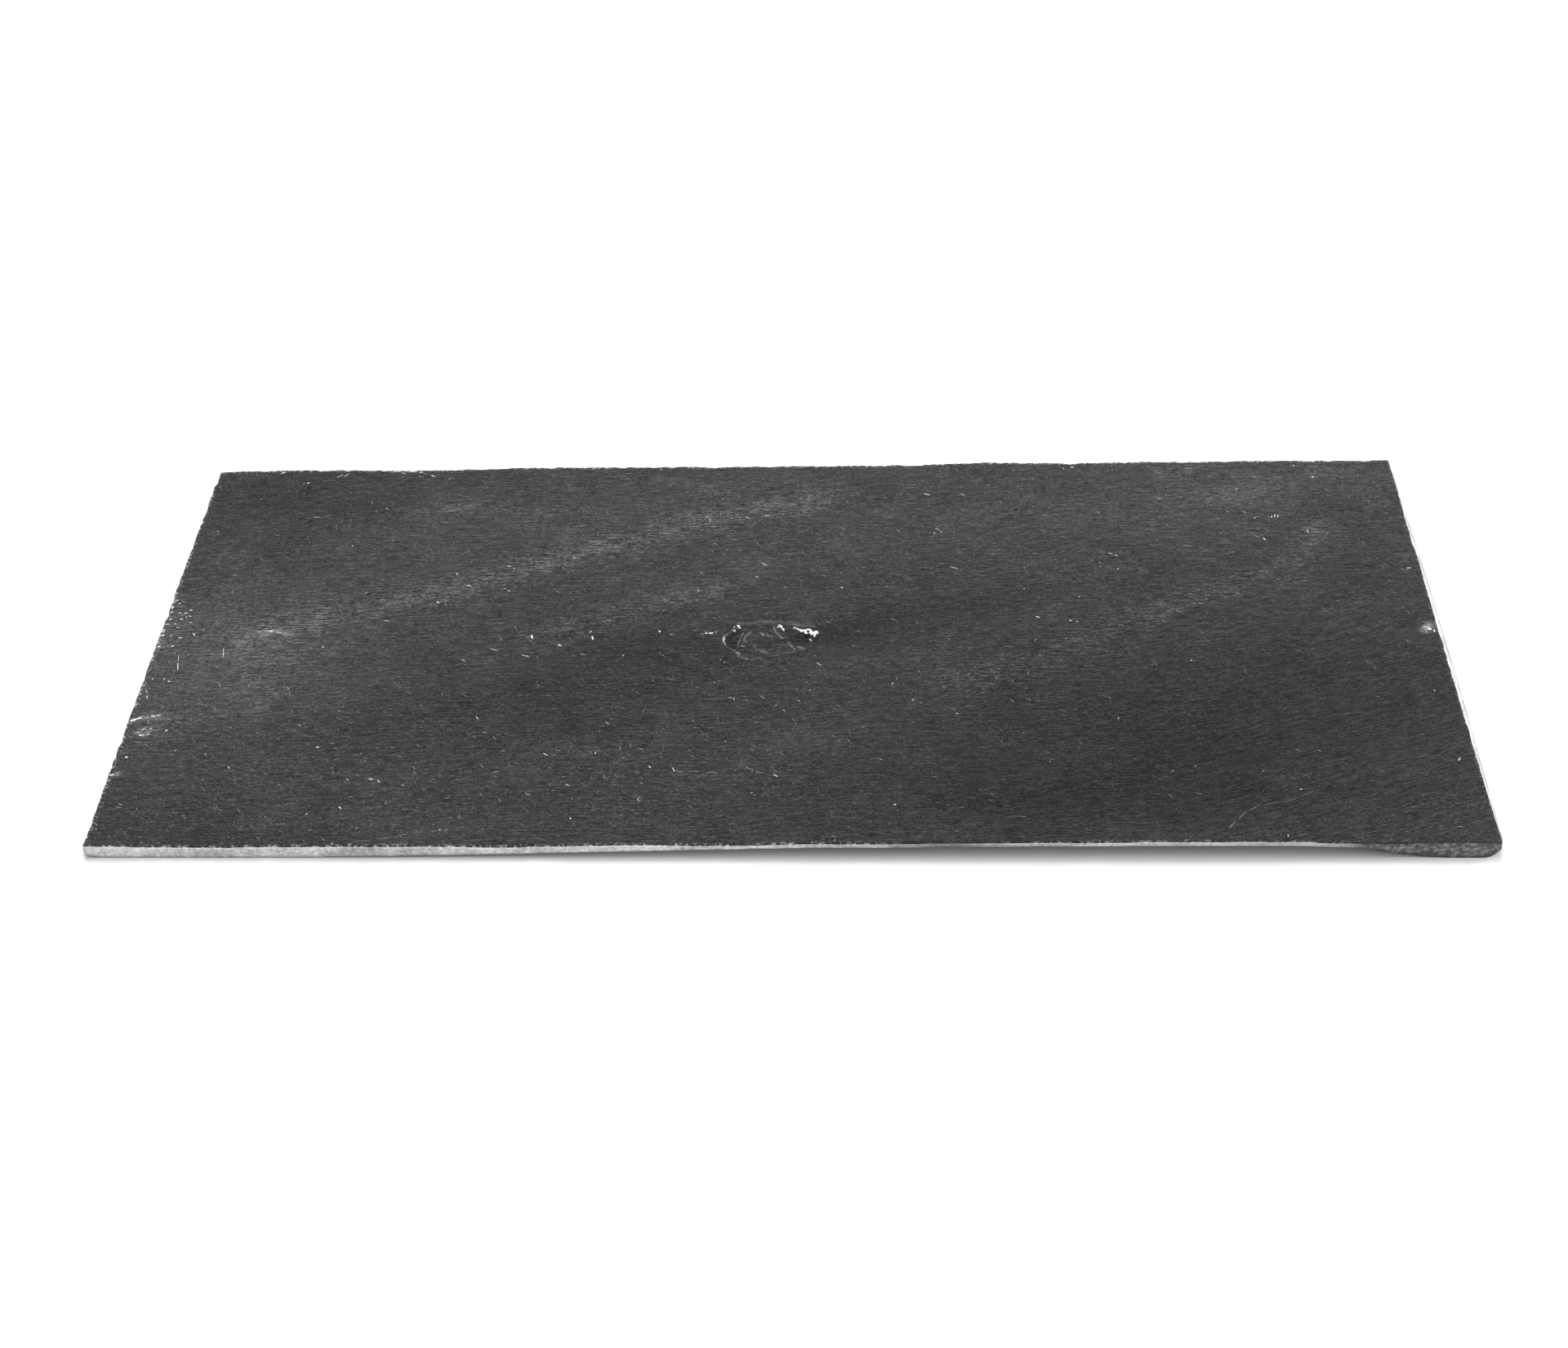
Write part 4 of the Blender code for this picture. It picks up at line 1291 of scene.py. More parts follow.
        (147.6, 60, 1.2, -40, 0.7, 0.7), (151.4, 55.8, 5.4, -42, 0.35, 0.6),
        (156, 54.4, 1.6, -40, 0.7, 0.8), (110, 38, 0.8, 0, 0.7, 1.0), (136, 31.6, 1.0, 80, 0.7, 0.8),
        (115.4, 15.4, 3.2, -28, 0.8, 0.95), (130.6, 12, 2.2, -32, 0.7, 0.95),
        (133.6, 11.2, 1.8, -30, 0.6, 0.9), (153.6, 8, 4.4, -20, 0.4, 0.5), (294.8, 52.6, 3.0, 4, 1.0, 0.85),
        (291.6, 51.4, 3.6, -40, 0.5, 0.5), (296.4, 3.4, 3.4, -50, 2.0, 1.0), (294.4, 5, 3.0, 20, 1.0, 0.9),
        (298.4, 1.6, 3.0, 78, 1.0, 0.95), (183.8, -20.8, 1.0, 0, 0.9, 1.0),
        (167.6, -23.4, 1.0, -60, 0.7, 0.7), (290.6, -44.6, 0.9, 0, 0.8, 1.0),
        (263.8, -23, 6.0, -72, 0.3, 0.45), (266, -25.6, 8.0, -74, 0.4, 0.5),
        (147.2, -64, 0.9, 70, 0.8, 1.0), (144.4, -48.6, 2.2, -50, 0.6, 0.5), (178, -98.4, 0.7, 0, 0.6, 0.9),
        (207, -102, 0.7, 0, 0.6, 0.8), (221.6, -114.6, 1.0, 0, 0.8, 1.0), (292.8, -94, 3.6, 68, 1.4, 0.6),
        (115, -95, 1.0, 0, 0.8, 0.6), (212, -146.2, 1.8, 85, 0.6, 0.9), (285, -139.6, 3.6, -10, 0.8, 0.45),
        (189.6, -138.6, 8.0, 56, 0.44, 0.52), (194.6, -132, 8.6, 50, 0.44, 0.52),
        (200.4, -127, 10.6, 36, 0.34, 0.42), (208, -124, 12.2, 18, 0.34, 0.42),
        (216.4, -121.8, 11.8, 20, 0.34, 0.42), (223.6, -118.2, 10.8, 32, 0.34, 0.42),
        (229, -115.8, 6.2, 24, 0.3, 0.30), (209.6, -135.4, 5.0, 30, 0.3, 0.22),
        (-94, 0.6, 3.8, -76, 1.3, 0.9), (-95.4, 5.4, 2.6, 60, 0.9, 0.85), (-62.8, 5.4, 2.2, -64, 0.9, 0.9),
        (-57, 2.8, 1.6, 10, 0.7, 0.7), (-122.6, 1, 4.2, -78, 1.4, 0.9), (-109, -5.4, 3.0, -12, 1.3, 0.85),
        # The rows here with a paleness of 0.06 or less are dark flat slivers over the face's pits: painted
        # shade of pits that the relief does not hold.
        (181, 113, 3.0, 0, 1.8, 0.02), (206.7, 112, 2.8, 10, 1.6, 0.02), (134.5, 45.5, 2.6, 0, 1.7, 0.02),
        (190.8, 10.8, 2.6, 0, 1.6, 0.02), (217.2, -65.2, 3.0, 20, 2.0, 0.0),
        (91.7, -125.8, 4.0, -10, 2.6, 0.0), (-87, -53.3, 3.0, 0, 1.6, 0.04), (278, -60, 3.0, 30, 1.6, 0.04),
        (253, -82, 3.0, 0, 1.6, 0.04), (-205.5, 37.2, 2.6, 0, 2.6, 0.06), (-206.8, 38.2, 2.6, 35, 0.7, 0.6),
        (58.8, 68.3, 2.2, 0, 2.0, 0.06), (169, -102.5, 2.4, 0, 2.2, 0.06),
        (168, -101.4, 2.2, 35, 0.6, 0.55), (-42.4, 2.4, 3.0, -10, 0.6, 0.6),
        (-38.6, 2.6, 2.6, -50, 0.9, 0.95), (-36, 3.6, 1.8, 40, 0.7, 0.8), (-45.6, 5.8, 2.2, 30, 0.5, 0.5),
        (-41, 3.4, 2.0, 70, 0.6, 0.6), (-50, 0, 5.0, 2, 0.5, 0.35), (-208, 148.6, 5.0, 4, 0.9, 1.0),
        (-199.5, 148.4, 6.4, 6, 1.2, 1.0), (-204, 146.8, 3.0, -10, 0.8, 0.8),
        (-195, 147.4, 3.0, 10, 0.9, 0.9),
    )

    def scattered(self) -> list[Splinter]:
        """The finer slivers, most of them where the stone is dusty.

        Returns:
            The slivers that the dice kept.
        """
        dice = np.random.default_rng(Seed.SPLINTER.value)
        half_length, half_width = self.stone.length / 2 - self.margin, self.stone.width / 2 - self.margin
        x = dice.uniform(-half_length, half_length, self.tries)
        y = dice.uniform(-half_width, half_width, self.tries)
        share = self.base_share + self.dust_share * self.stone.tones.dust(x, y)
        for patch in self.fields:
            share = share + patch.at(x, y)
        kept = np.flatnonzero(dice.uniform(0.0, 1.0, self.tries) < share)
        turns = dice.normal(*self.fine_turn, self.tries)
        sizes = dice.uniform(0.0, 1.0, (3, self.tries)) ** np.array(self.fine_bias)[:, None]
        ranges = (self.fine_length, self.fine_width, self.fine_pale)
        length, width, pale = (low + (high - low) * size for (low, high), size in zip(ranges, sizes))
        return [Splinter(x[i] / MM, y[i] / MM, length[i], turns[i], width[i], pale[i]) for i in kept]

    def tree(self) -> bpy.types.GeometryNodeTree:
        """Nodes that lay a thin flat sliver on the stone at each point of a mesh, by the point's own sizes.

        Returns:
            The tree.
        """
        tree, given = new_growth("splinters", {
            "Points": "Geometry", "Stone": "Object", "Thickness": "Float", "Sunk": "Float", "Bend": "Float",
            "Finish": "Material",
        }, "Splinters")
        length, width, turn, ground = (
            add_node(tree, "GeometryNodeInputNamedAttribute", {"Name": name}, data_type="FLOAT").outputs[0]
            for name in ("length", "width", "turn", "ground")
        )
        sliver = add_node(tree, "GeometryNodeMeshCone", {
            "Vertices": self.sides, "Radius Top": self.radii[1], "Radius Bottom": self.radii[0], "Depth": 1.0,
        }).outputs["Mesh"]
        size = add_node(tree, "ShaderNodeCombineXYZ", {
            "X": length, "Y": width, "Z": given["Thickness"],
        }).outputs[0]
        turned = add_node(tree, "ShaderNodeCombineXYZ", {"Z": turn}).outputs[0]
        slivers = add_node(tree, "GeometryNodeInstanceOnPoints", {
            "Points": given["Points"], "Instance": sliver, "Rotation": turned, "Scale": size,
        }).outputs[0]
        real = add_node(tree, "GeometryNodeRealizeInstances", {"Geometry": slivers}).outputs[0]
        stone = add_node(tree, "GeometryNodeObjectInfo", {"Object": given["Stone"]}).outputs["Geometry"]
        place = add_node(tree, "GeometryNodeInputPosition").outputs[0]
        above = add_node(tree, "ShaderNodeVectorMath", {0: place, 1: (0.0, 0.0, RAY_START)}).outputs[0]
        ray = add_node(tree, "GeometryNodeRaycast", {
            "Target Geometry": stone, "Source Position": above, "Ray Direction": (0.0, 0.0, -1.0),
            "Ray Length": 2.0 * RAY_START,
        })
        hit = add_node(tree, "ShaderNodeSeparateXYZ", {0: ray.outputs["Hit Position"]}).outputs["Z"]
        rise = add_node(tree, "ShaderNodeMath", {0: hit, 1: ground}, operation="SUBTRACT").outputs[0]
        drop = add_node(tree, "ShaderNodeMath", {0: given["Bend"], 1: -1.0}, operation="MULTIPLY").outputs[0]
        bent = {"Value": rise, "Min": drop, "Max": given["Bend"]}
        rise = add_node(tree, "ShaderNodeClamp", bent).outputs[0]
        for operation, other in (("MULTIPLY", ray.outputs["Is Hit"]), ("SUBTRACT", given["Sunk"])):
            rise = add_node(tree, "ShaderNodeMath", {0: rise, 1: other}, operation=operation).outputs[0]
        offset = add_node(tree, "ShaderNodeCombineXYZ", {"Z": rise}).outputs[0]
        laid = add_node(tree, "GeometryNodeSetPosition", {"Geometry": real, "Offset": offset}).outputs[0]
        dressed = add_node(tree, "GeometryNodeSetMaterial", {"Geometry": laid, "Material": given["Finish"]})
        add_node(tree, "NodeGroupOutput", {"Splinters": dressed.outputs[0]})
        return tree

    def within_face(
        self, x: Numbers, y: Numbers, length: Numbers, width: Numbers, turn: Numbers
    ) -> tuple[Numbers, Numbers]:
        """Moves slivers in from the edges of the riven face, so that no tip hangs over one.

        Args:
            x: their middles along the slab.
            y: their middles across it.
            length: their lengths.
            width: their widths.
            turn: how far each is turned, in radians.

        Returns:
            The middles, moved in where they have to be.
        """
        along, across = np.abs(np.cos(turn)), np.abs(np.sin(turn))
        most_x = self.stone.length / 2 - (length * along + width * across) / 2
        most_y = self.stone.width / 2 - (length * across + width * along) / 2
        return np.clip(x, -most_x, most_x), np.clip(y, -most_y, most_y)

    def build(self, stone: bpy.types.Object, finish: bpy.types.Material) -> bpy.types.Object:
        """Lays all the slivers on the stone.

        Args:
            stone: the slab's object.
            finish: of broken slate.

        Returns:
            One object with every sliver.
        """
        slivers = [Splinter(*row) for row in self.named] + self.scattered()
        x, y, length, turn, width, pale = np.array([
            (s.x * MM, s.y * MM, s.length * MM, math.radians(s.turn), s.width * MM * self.slimness, s.pale)
            for s in slivers
        ]).T
        x, y = self.within_face(x, y, length, width, turn)
        ground = self.stone.face.height(x, y)
        data = new_mesh("splinter_points", move_to_box(np.stack([x, y, ground], axis=1)))
        columns = {"length": length, "width": width, "turn": turn, "pale": pale, "ground": ground}
        for name, values in columns.items():
            add_values(data, name, values)
        piece = grown_mesh("splinters", data, self.tree(), {
            "Stone": stone, "Thickness": self.thickness, "Sunk": self.sunk, "Bend": self.bend,
            "Finish": finish,
        })
        log.info("splinters: %d on the riven face, %d faces", len(slivers), len(piece.data.polygons))
        return piece


@dataclass
class KnotGrains:
    """White grains grown in the knot's rim: small blunt crystals, half sunk in the stone."""

    sunk: float = 0.10
    flatness: float = 0.55
    tilt: float = 0.4  # radians either way
    turn: float = 6.28  # radians at most
    cuts: int = 3
    lump: float = 1 / 1100  # the size of the lumps on a grain
    lump_height: float = 0.00045
    places: tuple[Spot, ...] = (  # x, y and size, in millimetres
        (0.8, 6.2, 0.7), (1.6, 5.6, 0.8), (2.4, 4.8, 0.9), (3.2, 4.2, 1.0), (4.0, 3.3, 1.9),
        (5.0, 3.2, 1.8), (5.9, 2.9, 1.6), (6.3, 2.0, 1.9), (6.8, 3.9, 1.3), (7.9, 4.0, 1.4),
        (8.5, 3.2, 1.3), (8.5, 1.9, 1.9), (9.2, 0.9, 2.0), (10.2, 0.7, 2.1), (10.4, -0.2, 1.5),
        (11.1, 2.3, 1.9), (11.4, 1.0, 1.6), (10.3, 1.9, 1.2), (8.3, -1.4, 0.8), (8.6, -2.2, 0.6),
        (-6.3, 7.8, 1.5), (-5.5, 7.1, 1.7), (-4.7, 6.2, 1.2), (-4.3, 5.5, 0.9), (-6.9, 7.2, 0.8),
        (-25.6, 7.5, 1.2), (-25.2, 6.5, 1.3), (-26.0, 8.1, 0.8), (-27.4, 4.5, 1.1), (-27.6, 6.8, 0.7),
        (-38.6, 2.5, 1.3), (-37.6, 2.6, 0.9), (-40.4, 2.7, 0.9), (-62.6, 5.4, 0.8), (-94.0, 0.6, 1.0),
        (-122.6, 1.0, 1.1), (-109.2, -5.4, 0.9), (-31.9, -2.4, 0.7), (-32.1, -3.6, 0.7), (-31.6, -5.0, 0.6),
    )

    def tree(self) -> bpy.types.GeometryNodeTree:
        """Nodes that set a lumpy grain at each point of a mesh, by the point's own size.

        Returns:
            The tree.
        """
        tree, given = new_growth("knot_grains", {
            "Points": "Geometry", "Flatness": "Float", "Finish": "Material",
        }, "Grains")
        named = add_node(tree, "GeometryNodeInputNamedAttribute", {"Name": "size"}, data_type="FLOAT")
        size = named.outputs[0]
        ball = {"Radius": 0.5, "Subdivisions": self.cuts}
        grain = add_node(tree, "GeometryNodeMeshIcoSphere", ball).outputs[0]
        flat = {0: size, 1: given["Flatness"]}
        low = add_node(tree, "ShaderNodeMath", flat, operation="MULTIPLY").outputs[0]
        scale = add_node(tree, "ShaderNodeCombineXYZ", {"X": size, "Y": size, "Z": low}).outputs[0]
        turn = add_node(tree, "FunctionNodeRandomValue", {
            0: (-self.tilt, -self.tilt, 0.0), 1: (self.tilt, self.tilt, self.turn), "Seed": Seed.GRAIN.value,
        }, data_type="FLOAT_VECTOR").outputs[0]
        grains = add_node(tree, "GeometryNodeInstanceOnPoints", {
            "Points": given["Points"], "Instance": grain, "Rotation": turn, "Scale": scale,
        }).outputs[0]
        real = add_node(tree, "GeometryNodeRealizeInstances", {"Geometry": grains}).outputs[0]
        lumps = add_node(tree, "ShaderNodeTexVoronoi", {"Scale": 1 / self.lump}, feature="F1")
        push = lumps.outputs["Distance"]
        for operation, other in (("SUBTRACT", 0.5), ("MULTIPLY", -self.lump_height)):
            push = add_node(tree, "ShaderNodeMath", {0: push, 1: other}, operation=operation).outputs[0]
        outward = {0: add_node(tree, "GeometryNodeInputNormal").outputs[0], "Scale": push}
        offset = add_node(tree, "ShaderNodeVectorMath", outward, operation="SCALE").outputs[0]
        rough = add_node(tree, "GeometryNodeSetPosition", {"Geometry": real, "Offset": offset}).outputs[0]
        dressed = add_node(tree, "GeometryNodeSetMaterial", {"Geometry": rough, "Material": given["Finish"]})
        add_node(tree, "NodeGroupOutput", {"Grains": dressed.outputs[0]})
        return tree

    def build(self, face: RivenFace, finish: bpy.types.Material) -> bpy.types.Object:
        """Sets the grains in the knot.

        Args:
            face: the riven face, for its height.
            finish: of the white mineral.

        Returns:
            One object with every grain.
        """
        x, y, size = (np.array(self.places) * MM).T
        points = np.stack([x, y, face.height(x, y) + self.sunk * size], axis=1)
        data = new_mesh("grain_points", move_to_box(points))
        add_values(data, "size", size)
        piece = grown_mesh("knot_grains", data, self.tree(), {"Flatness": self.flatness, "Finish": finish})
        log.info("knot grains: %d", len(self.places))
        return piece


@dataclass(frozen=True)
class SplinteredSlate:
    """Thin slivers of slate torn up from the cleavage: their broken sides are white with stone dust. At no
    paleness the finish is near black, the painted shade of pits.
    """

    name: str = "splintered_slate"
    # At no paleness this gives the near black of the pit slivers: painted shade.
    greys: tuple[tuple[float, str], ...] = (
        (0.0, "141415"), (0.25, "3a3a3b"), (0.60, "a4a4a2"), (1.0, "f6f6f3"),
    )
    grain: float = 0.0006  # the crushed grains, drawn coarser than their real 0.1 mm so that they show
    roughness: float = 0.85
    specular: float = 0.2

    def make(self) -> bpy.types.Material:
        """The finish as a node material.

        Returns:
            The material.
        """
        values = {"Roughness": self.roughness, "Specular IOR Level": self.specular}
        material, tree, shader = new_finish(self.name, values)
        pale = add_node(tree, "ShaderNodeAttribute", attribute_name="pale").outputs["Fac"]
        place = add_node(tree, "ShaderNodeTexCoord").outputs["Object"]
        pattern = {"Vector": place, "Scale": 1 / self.grain, "Detail": 2.0}
        grain = add_node(tree, "ShaderNodeTexNoise", pattern).outputs["Fac"]
        worn = add_node(tree, "ShaderNodeMath", {0: grain, 1: 0.5}, operation="ADD").outputs[0]
        share = add_node(tree, "ShaderNodeMath", {0: worn, 1: pale}, operation="MULTIPLY").outputs[0]
        tree.links.new(grey_ramp(tree, share, self.greys), shader.inputs["Base Color"])
        return material


@dataclass(frozen=True)
class RivenSlate:
    """Dark grey slate as split: fine fibrous grain along the cleavage gives a matt, streaked face.

    The real grain is about 0.1 mm. The hairs and the grit are drawn coarser, so that they show.
    """

    name: str = "riven_slate"
    bundle: Place = (0.0260, 0.0016)  # length and width of the fibres that split off together
    fibre: Place = (0.0085, 0.0009)
    hair: Place = (0.0024, 0.0005)
    grit: float = 0.0009
    flake: float = 0.0036
    cloud: float = 0.022
    crumb: float = 0.0016  # one white chip at the edges
    bundle_share: float = 0.15
    clean_share: float = 0.40  # of the fibres and hairs where there is no dust
    dusty_share: float = 0.75  # what full dust adds to that
    grit_share: float = 0.34
    flake_share: float = 0.12
    cloud_share: float = 0.08
    chip_share: float = 0.55
    chipped: Place = (0.50, 0.60)
    hair_height: float = 0.6  # as shares of the fibres' height
    grit_height: float = 0.5
    bump: float = 0.9
    bump_height: float = 0.00022
    roughness: float = 0.72
    ior: float = 1.45
    specular: float = 0.18
    greys: tuple[tuple[float, str], ...] = (
        (0.06, "070708"), (0.18, "1c1c1d"), (0.29, "343435"), (0.38, "494949"), (0.60, "80807e"),
        (0.90, "d6d6d3"),
    )

    def make(self) -> bpy.types.Material:
        """The finish as a node material.

        Returns:
            The material.
        """
        values = {"Roughness": self.roughness, "IOR": self.ior, "Specular IOR Level": self.specular}
        material, tree, shader = new_finish(self.name, values)
        grain = add_node(tree, "ShaderNodeAttribute", attribute_name="grain").outputs["Vector"]
        place = add_node(tree, "ShaderNodeTexCoord").outputs["Object"]
        tone, dust, rim = (
            add_node(tree, "ShaderNodeAttribute", attribute_name=name).outputs["Fac"]
            for name in ("tone", "dust", "rim")
        )
        streaks = []
        for (length, width), detail in ((self.bundle, 2.0), (self.fibre, 3.0), (self.hair, 2.0)):
            stretch = {0: grain, 1: (1 / length, 1 / width, 1.0)}
            along = add_node(tree, "ShaderNodeVectorMath", stretch, operation="MULTIPLY").outputs[0]
            pattern = {"Vector": along, "Scale": 1.0, "Detail": detail, "Roughness": 0.6}
            streaks.append(add_node(tree, "ShaderNodeTexNoise", pattern).outputs["Fac"])
        bundle, fibre, hair = streaks
        sizes = ((self.grit, 2.0), (self.flake, 3.0), (self.cloud, 4.0), (self.crumb, 3.0))
        patterns = ({"Vector": place, "Scale": 1 / size, "Detail": detail} for size, detail in sizes)
        grit, flake, cloud, crumb = (
            add_node(tree, "ShaderNodeTexNoise", pattern).outputs["Fac"] for pattern in patterns
        )
        contrast = {0: dust, 1: self.dusty_share, 2: self.clean_share}
        contrast = add_node(tree, "ShaderNodeMath", contrast, operation="MULTIPLY_ADD").outputs[0]
        total = tone
        for source, share in (
            (bundle, self.bundle_share), (fibre, contrast), (hair, contrast), (grit, self.grit_share),
            (flake, self.flake_share), (cloud, self.cloud_share),
        ):
            centred = add_node(tree, "ShaderNodeMath", {0: source, 1: 0.5}, operation="SUBTRACT").outputs[0]
            added = {0: centred, 1: share, 2: total}
            total = add_node(tree, "ShaderNodeMath", added, operation="MULTIPLY_ADD").outputs[0]
        near = {"Value": rim, "From Min": CHIPPED, "From Max": 0.0, "To Min": 0.0, "To Max": self.chip_share}
        at_rim = add_node(tree, "ShaderNodeMapRange", near).outputs[0]
        chips = {"Value": crumb, "From Min": self.chipped[0], "From Max": self.chipped[1]}
        broken = add_node(tree, "ShaderNodeMapRange", chips).outputs[0]
        added = {0: at_rim, 1: broken, 2: total}
        total = add_node(tree, "ShaderNodeMath", added, operation="MULTIPLY_ADD").outputs[0]
        tree.links.new(grey_ramp(tree, total, self.greys), shader.inputs["Base Color"])
        relief = fibre
        for source, height in ((hair, self.hair_height), (grit, self.grit_height)):
            added = {0: source, 1: height, 2: relief}
            relief = add_node(tree, "ShaderNodeMath", added, operation="MULTIPLY_ADD").outputs[0]
        bump = {"Height": relief, "Strength": self.bump, "Distance": self.bump_height}
        bump = add_node(tree, "ShaderNodeBump", bump).outputs["Normal"]
        tree.links.new(bump, shader.inputs["Normal"])
        return material


@dataclass(frozen=True)
class DressedSlate:
    """Slate broken off across its layers: crushed stone dust makes it pale, with thin darker laminae."""

    name: str = "dressed_slate_edge"
    pale: str = "e8e8e5"
    dark: str = "949492"
    # The weathered corner's dark colour, which also paints the shade over the front hollow.
    weathered_and_shaded: str = "4c4c4d"
    speck: str = "929290"
    lamina: Place = (0.0060, 0.00055)  # length and height of one layer's broken end
    chip: float = 0.0016  # the crushed crumbs, drawn coarser than their real half a millimetre
    lump: float = 0.0020
    blotch: float = 0.018
    chip_share: float = 0.85  # as shares of what the layers give
    blotch_share: float = 0.9
    arris_share: float = 0.22
    range: Place = (1.08, 1.70)  # of all of these together, from dark to pale
    specks: Place = (0.44, 0.70)
    arris: Place = (0.72, 1.0)  # the crushed, whiter top of the face, as shares of its height
    painted_foot_shade: Place = (0.0, 0.24)  # painted contact shade: the darker bottom of it
    foot_shade_keeps: float = 0.50  # how much of its paleness the very bottom keeps under the painted contact shade
    bump: float = 0.8
    bump_height: float = 0.0003
    roughness: float = 0.88
    specular: float = 0.3

    def make(self) -> bpy.types.Material:
        """The finish as a node material.

        Returns:
            The material.
        """
        values = {"Roughness": self.roughness, "Specular IOR Level": self.specular}
        material, tree, shader = new_finish(self.name, values)
        place = add_node(tree, "ShaderNodeTexCoord").outputs["Object"]
        weather_and_shade, level = (
            add_node(tree, "ShaderNodeAttribute", attribute_name=name).outputs["Fac"]
            for name in ("weather_and_shade", "level")
        )
        length, height = self.lamina
        stretch = {0: place, 1: (1 / length, 1 / length, 1 / height)}
        layers = add_node(tree, "ShaderNodeVectorMath", stretch, operation="MULTIPLY").outputs[0]
        patterns = (
            {"Vector": layers, "Scale": 1.0, "Detail": 3.0, "Roughness": 0.65},
            {"Vector": place, "Scale": 1 / self.chip, "Detail": 3.0},
            {"Vector": place, "Scale": 1 / self.lump, "Detail": 4.0, "Roughness": 0.65},
            {"Vector": place, "Scale": 1 / self.blotch, "Detail": 3.0},
        )
        layer, chip, lump, blotch = (
            add_node(tree, "ShaderNodeTexNoise", pattern).outputs["Fac"] for pattern in patterns
        )
        top = {"Value": level, "From Min": self.arris[0], "From Max": self.arris[1]}
        crushed = add_node(tree, "ShaderNodeMapRange", top).outputs[0]
        sums = [layer]
        shares = (self.chip_share, self.blotch_share, self.arris_share)
        for source, share in zip((chip, blotch, crushed), shares):
            added = {0: source, 1: share, 2: sums[-1]}
            sums.append(add_node(tree, "ShaderNodeMath", added, operation="MULTIPLY_ADD").outputs[0])
        shades = {"Value": sums[-1], "From Min": self.range[0], "From Max": self.range[1]}
        paleness = add_node(tree, "ShaderNodeMapRange", shades).outputs[0]
        spots = {"Value": lump, "From Min": self.specks[0], "From Max": self.specks[1]}
        specks = add_node(tree, "ShaderNodeMapRange", spots).outputs[0]
        pairs = (
            {0: paleness, 6: linear(self.dark), 7: linear(self.pale)},
            {0: specks, 6: linear(self.weathered_and_shaded), 7: linear(self.speck)},
        )
        fresh, darkened = (add_node(tree, "ShaderNodeMix", pair, data_type="RGBA").outputs[2] for pair in pairs)
        # The dark mix goes on the weathered corner and, as painted shade, on the front edge face over the
        # hollow.
        both = add_node(tree, "ShaderNodeMix", {0: weather_and_shade, 6: fresh, 7: darkened}, data_type="RGBA").outputs[2]
        # Painted contact shade: the edge face is painted darker towards its bottom.
        start, end = self.painted_foot_shade
        foot_shade = {"Value": level, "From Min": start, "From Max": end, "To Min": self.foot_shade_keeps}
        kept = add_node(tree, "ShaderNodeMapRange", foot_shade).outputs[0]
        scaled = {0: both, "Scale": kept}
        colour = add_node(tree, "ShaderNodeVectorMath", scaled, operation="SCALE").outputs[0]
        tree.links.new(colour, shader.inputs["Base Color"])
        bump = {"Height": sums[1], "Strength": self.bump, "Distance": self.bump_height}
        bump = add_node(tree, "ShaderNodeBump", bump).outputs["Normal"]
        tree.links.new(bump, shader.inputs["Normal"])
        return material


@dataclass(frozen=True)
class PlainFinish:
    """A finish with one colour and a fine grain."""

    name: str
    dark: str
    pale: str
    grain: float
    roughness: float
    bump: float = 0.4

    def make(self) -> bpy.types.Material:
        """The finish as a node material.

        Returns:
            The material.
        """
        material, tree, shader = new_finish(self.name, {"Roughness": self.roughness})
        place = add_node(tree, "ShaderNodeTexCoord").outputs["Object"]
        pattern = {"Vector": place, "Scale": 1 / self.grain, "Detail": 2.0}
        grain = add_node(tree, "ShaderNodeTexNoise", pattern).outputs["Fac"]
        shades = {0: grain, 6: linear(self.dark), 7: linear(self.pale)}
        colour = add_node(tree, "ShaderNodeMix", shades, data_type="RGBA").outputs[2]
        tree.links.new(colour, shader.inputs["Base Color"])
        bump = {"Height": grain, "Strength": self.bump, "Distance": self.grain / 4}
        bump = add_node(tree, "ShaderNodeBump", bump).outputs["Normal"]
        tree.links.new(bump, shader.inputs["Normal"])
        return material


# Grown crystals: bright and sugary, with a soft gleam.
WHITE_CALCITE = PlainFinish("white_calcite", dark="dededa", pale="fbfbf8", grain=0.0008, roughness=0.45)
# Plain white paper: even and matt.
WHITE_FLOOR = PlainFinish("white_floor", dark="fafafa", pale="fcfcfc", grain=0.004, roughness=0.9, bump=0.0)


@dataclass(frozen=True)
class SoftLight:
    """A soft rectangular light that faces the slab."""

    name: str
    place: Spot
    size: Place
    watts: float

    def hang(self) -> None:
        """Puts the light in the scene."""
        light = bpy.data.objects.new(self.name, bpy.data.lights.new(self.name, "AREA"))
        bpy.context.scene.collection.objects.link(light)
        light.data.shape = "RECTANGLE"
        light.data.size, light.data.size_y = self.size
        light.data.energy = self.watts
        light.location = self.place
        light.rotation_mode = "QUATERNION"
        light.rotation_quaternion = Vector(self.place).to_track_quat("Z", "Y")


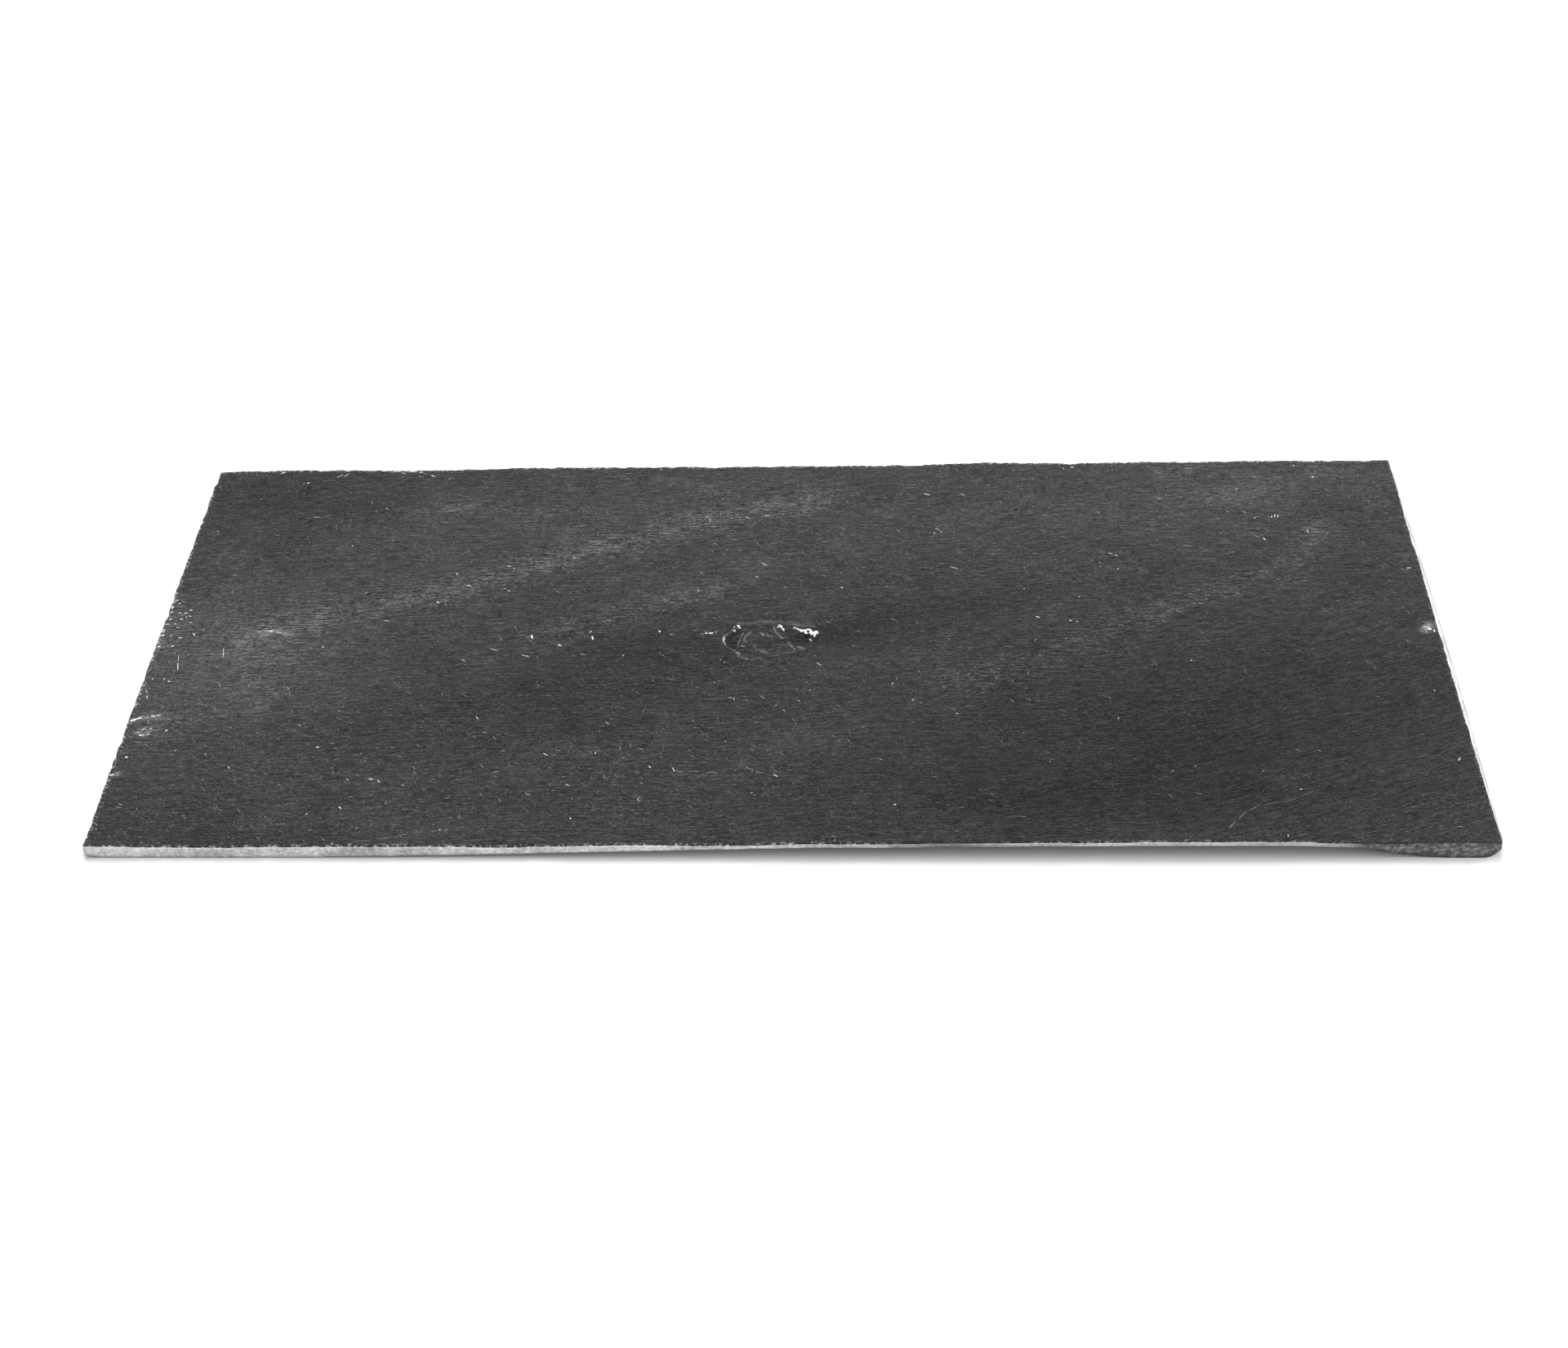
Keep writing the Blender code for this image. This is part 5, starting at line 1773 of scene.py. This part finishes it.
@dataclass
class Studio:
    """The camera, the white floor and the soft lights."""

    place: Spot = (0.0391, -0.9981, 0.7278)  # of the camera, from the middle of the top face
    pitch: float = math.radians(36.61)
    roll: float = math.radians(-1.72)
    yaw: float = math.radians(-2.5)
    focal_pixels: float = 3220.0
    image_width: float = 1920.0
    sensor: float = 36.0
    nearest: float = 0.01
    floor_size: float = 8.0
    world_grey: str = "ffffff"
    world_strength: float = 0.80
    lights: tuple[SoftLight, ...] = (
        SoftLight("overhead", (-0.2, 0.9, 1.9), (1.8, 1.2), 24.0),
        SoftLight("right", (1.7, 0.15, 0.55), (0.9, 0.5), 15.0),
    )

    def add_camera(self) -> None:
        """Makes the camera from the picture's own perspective and makes it the scene's."""
        camera = bpy.data.objects.new("camera", bpy.data.cameras.new("camera"))
        bpy.context.scene.collection.objects.link(camera)
        camera.data.sensor_width = self.sensor
        camera.data.lens = self.focal_pixels / self.image_width * self.sensor
        camera.data.clip_start = self.nearest
        level_ahead = Vector((math.sin(self.yaw), math.cos(self.yaw), 0.0))
        ahead = level_ahead * math.cos(self.pitch) - Vector((0.0, 0.0, math.sin(self.pitch)))
        level_right = Vector((math.cos(self.yaw), -math.sin(self.yaw), 0.0))
        level_up = level_right.cross(ahead)
        right = level_right * math.cos(self.roll) + level_up * math.sin(self.roll)
        up = level_up * math.cos(self.roll) - level_right * math.sin(self.roll)
        turn = Matrix((right, up, -ahead)).transposed().to_4x4()
        camera.matrix_world = Matrix.Translation(move_to_box(np.array(self.place))) @ turn
        bpy.context.scene.camera = camera

    def add_floor(self, finish: bpy.types.Material) -> None:
        """Lays the plain floor under the slab.

        Args:
            finish: of the floor.
        """
        half = self.floor_size / 2
        corners = np.array([(-half, -half, 0.0), (half, -half, 0.0), (half, half, 0.0), (-half, half, 0.0)])
        data = new_mesh("floor", corners, [(0, 1, 2, 3)])
        data.materials.append(finish)
        link_piece("floor", data)

    def build(self, floor: bpy.types.Material) -> None:
        """Sets up the camera, the floor and the lights.

        Args:
            floor: the floor's finish.
        """
        self.add_camera()
        self.add_floor(floor)
        for light in self.lights:
            light.hang()
        world = bpy.data.worlds.new("studio")
        world.use_nodes = True
        background = world.node_tree.nodes["Background"]
        background.inputs["Color"].default_value = linear(self.world_grey)
        background.inputs["Strength"].default_value = self.world_strength
        bpy.context.scene.world = world
        bpy.context.scene.view_settings.view_transform = "Standard"
        log.info("studio: camera, floor and %d lights", len(self.lights))


def main() -> None:
    """Builds the dressed slab in its studio, with every piece of it kept inside the solid's box."""
    logging.basicConfig(level=logging.INFO, format="%(name)s: %(message)s")
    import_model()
    slab = SlateSlab()
    stone = slab.build([RivenSlate().make(), DressedSlate().make()])
    splinters = Splinters(slab).build(stone, SplinteredSlate().make())
    grains = KnotGrains().build(slab.face, WHITE_CALCITE.make())
    for piece in (stone, splinters, grains):
        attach(piece, "root")
    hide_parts(SLAB_NODE)
    Studio().build(WHITE_FLOOR.make())


if __name__ == "__main__":
    main()
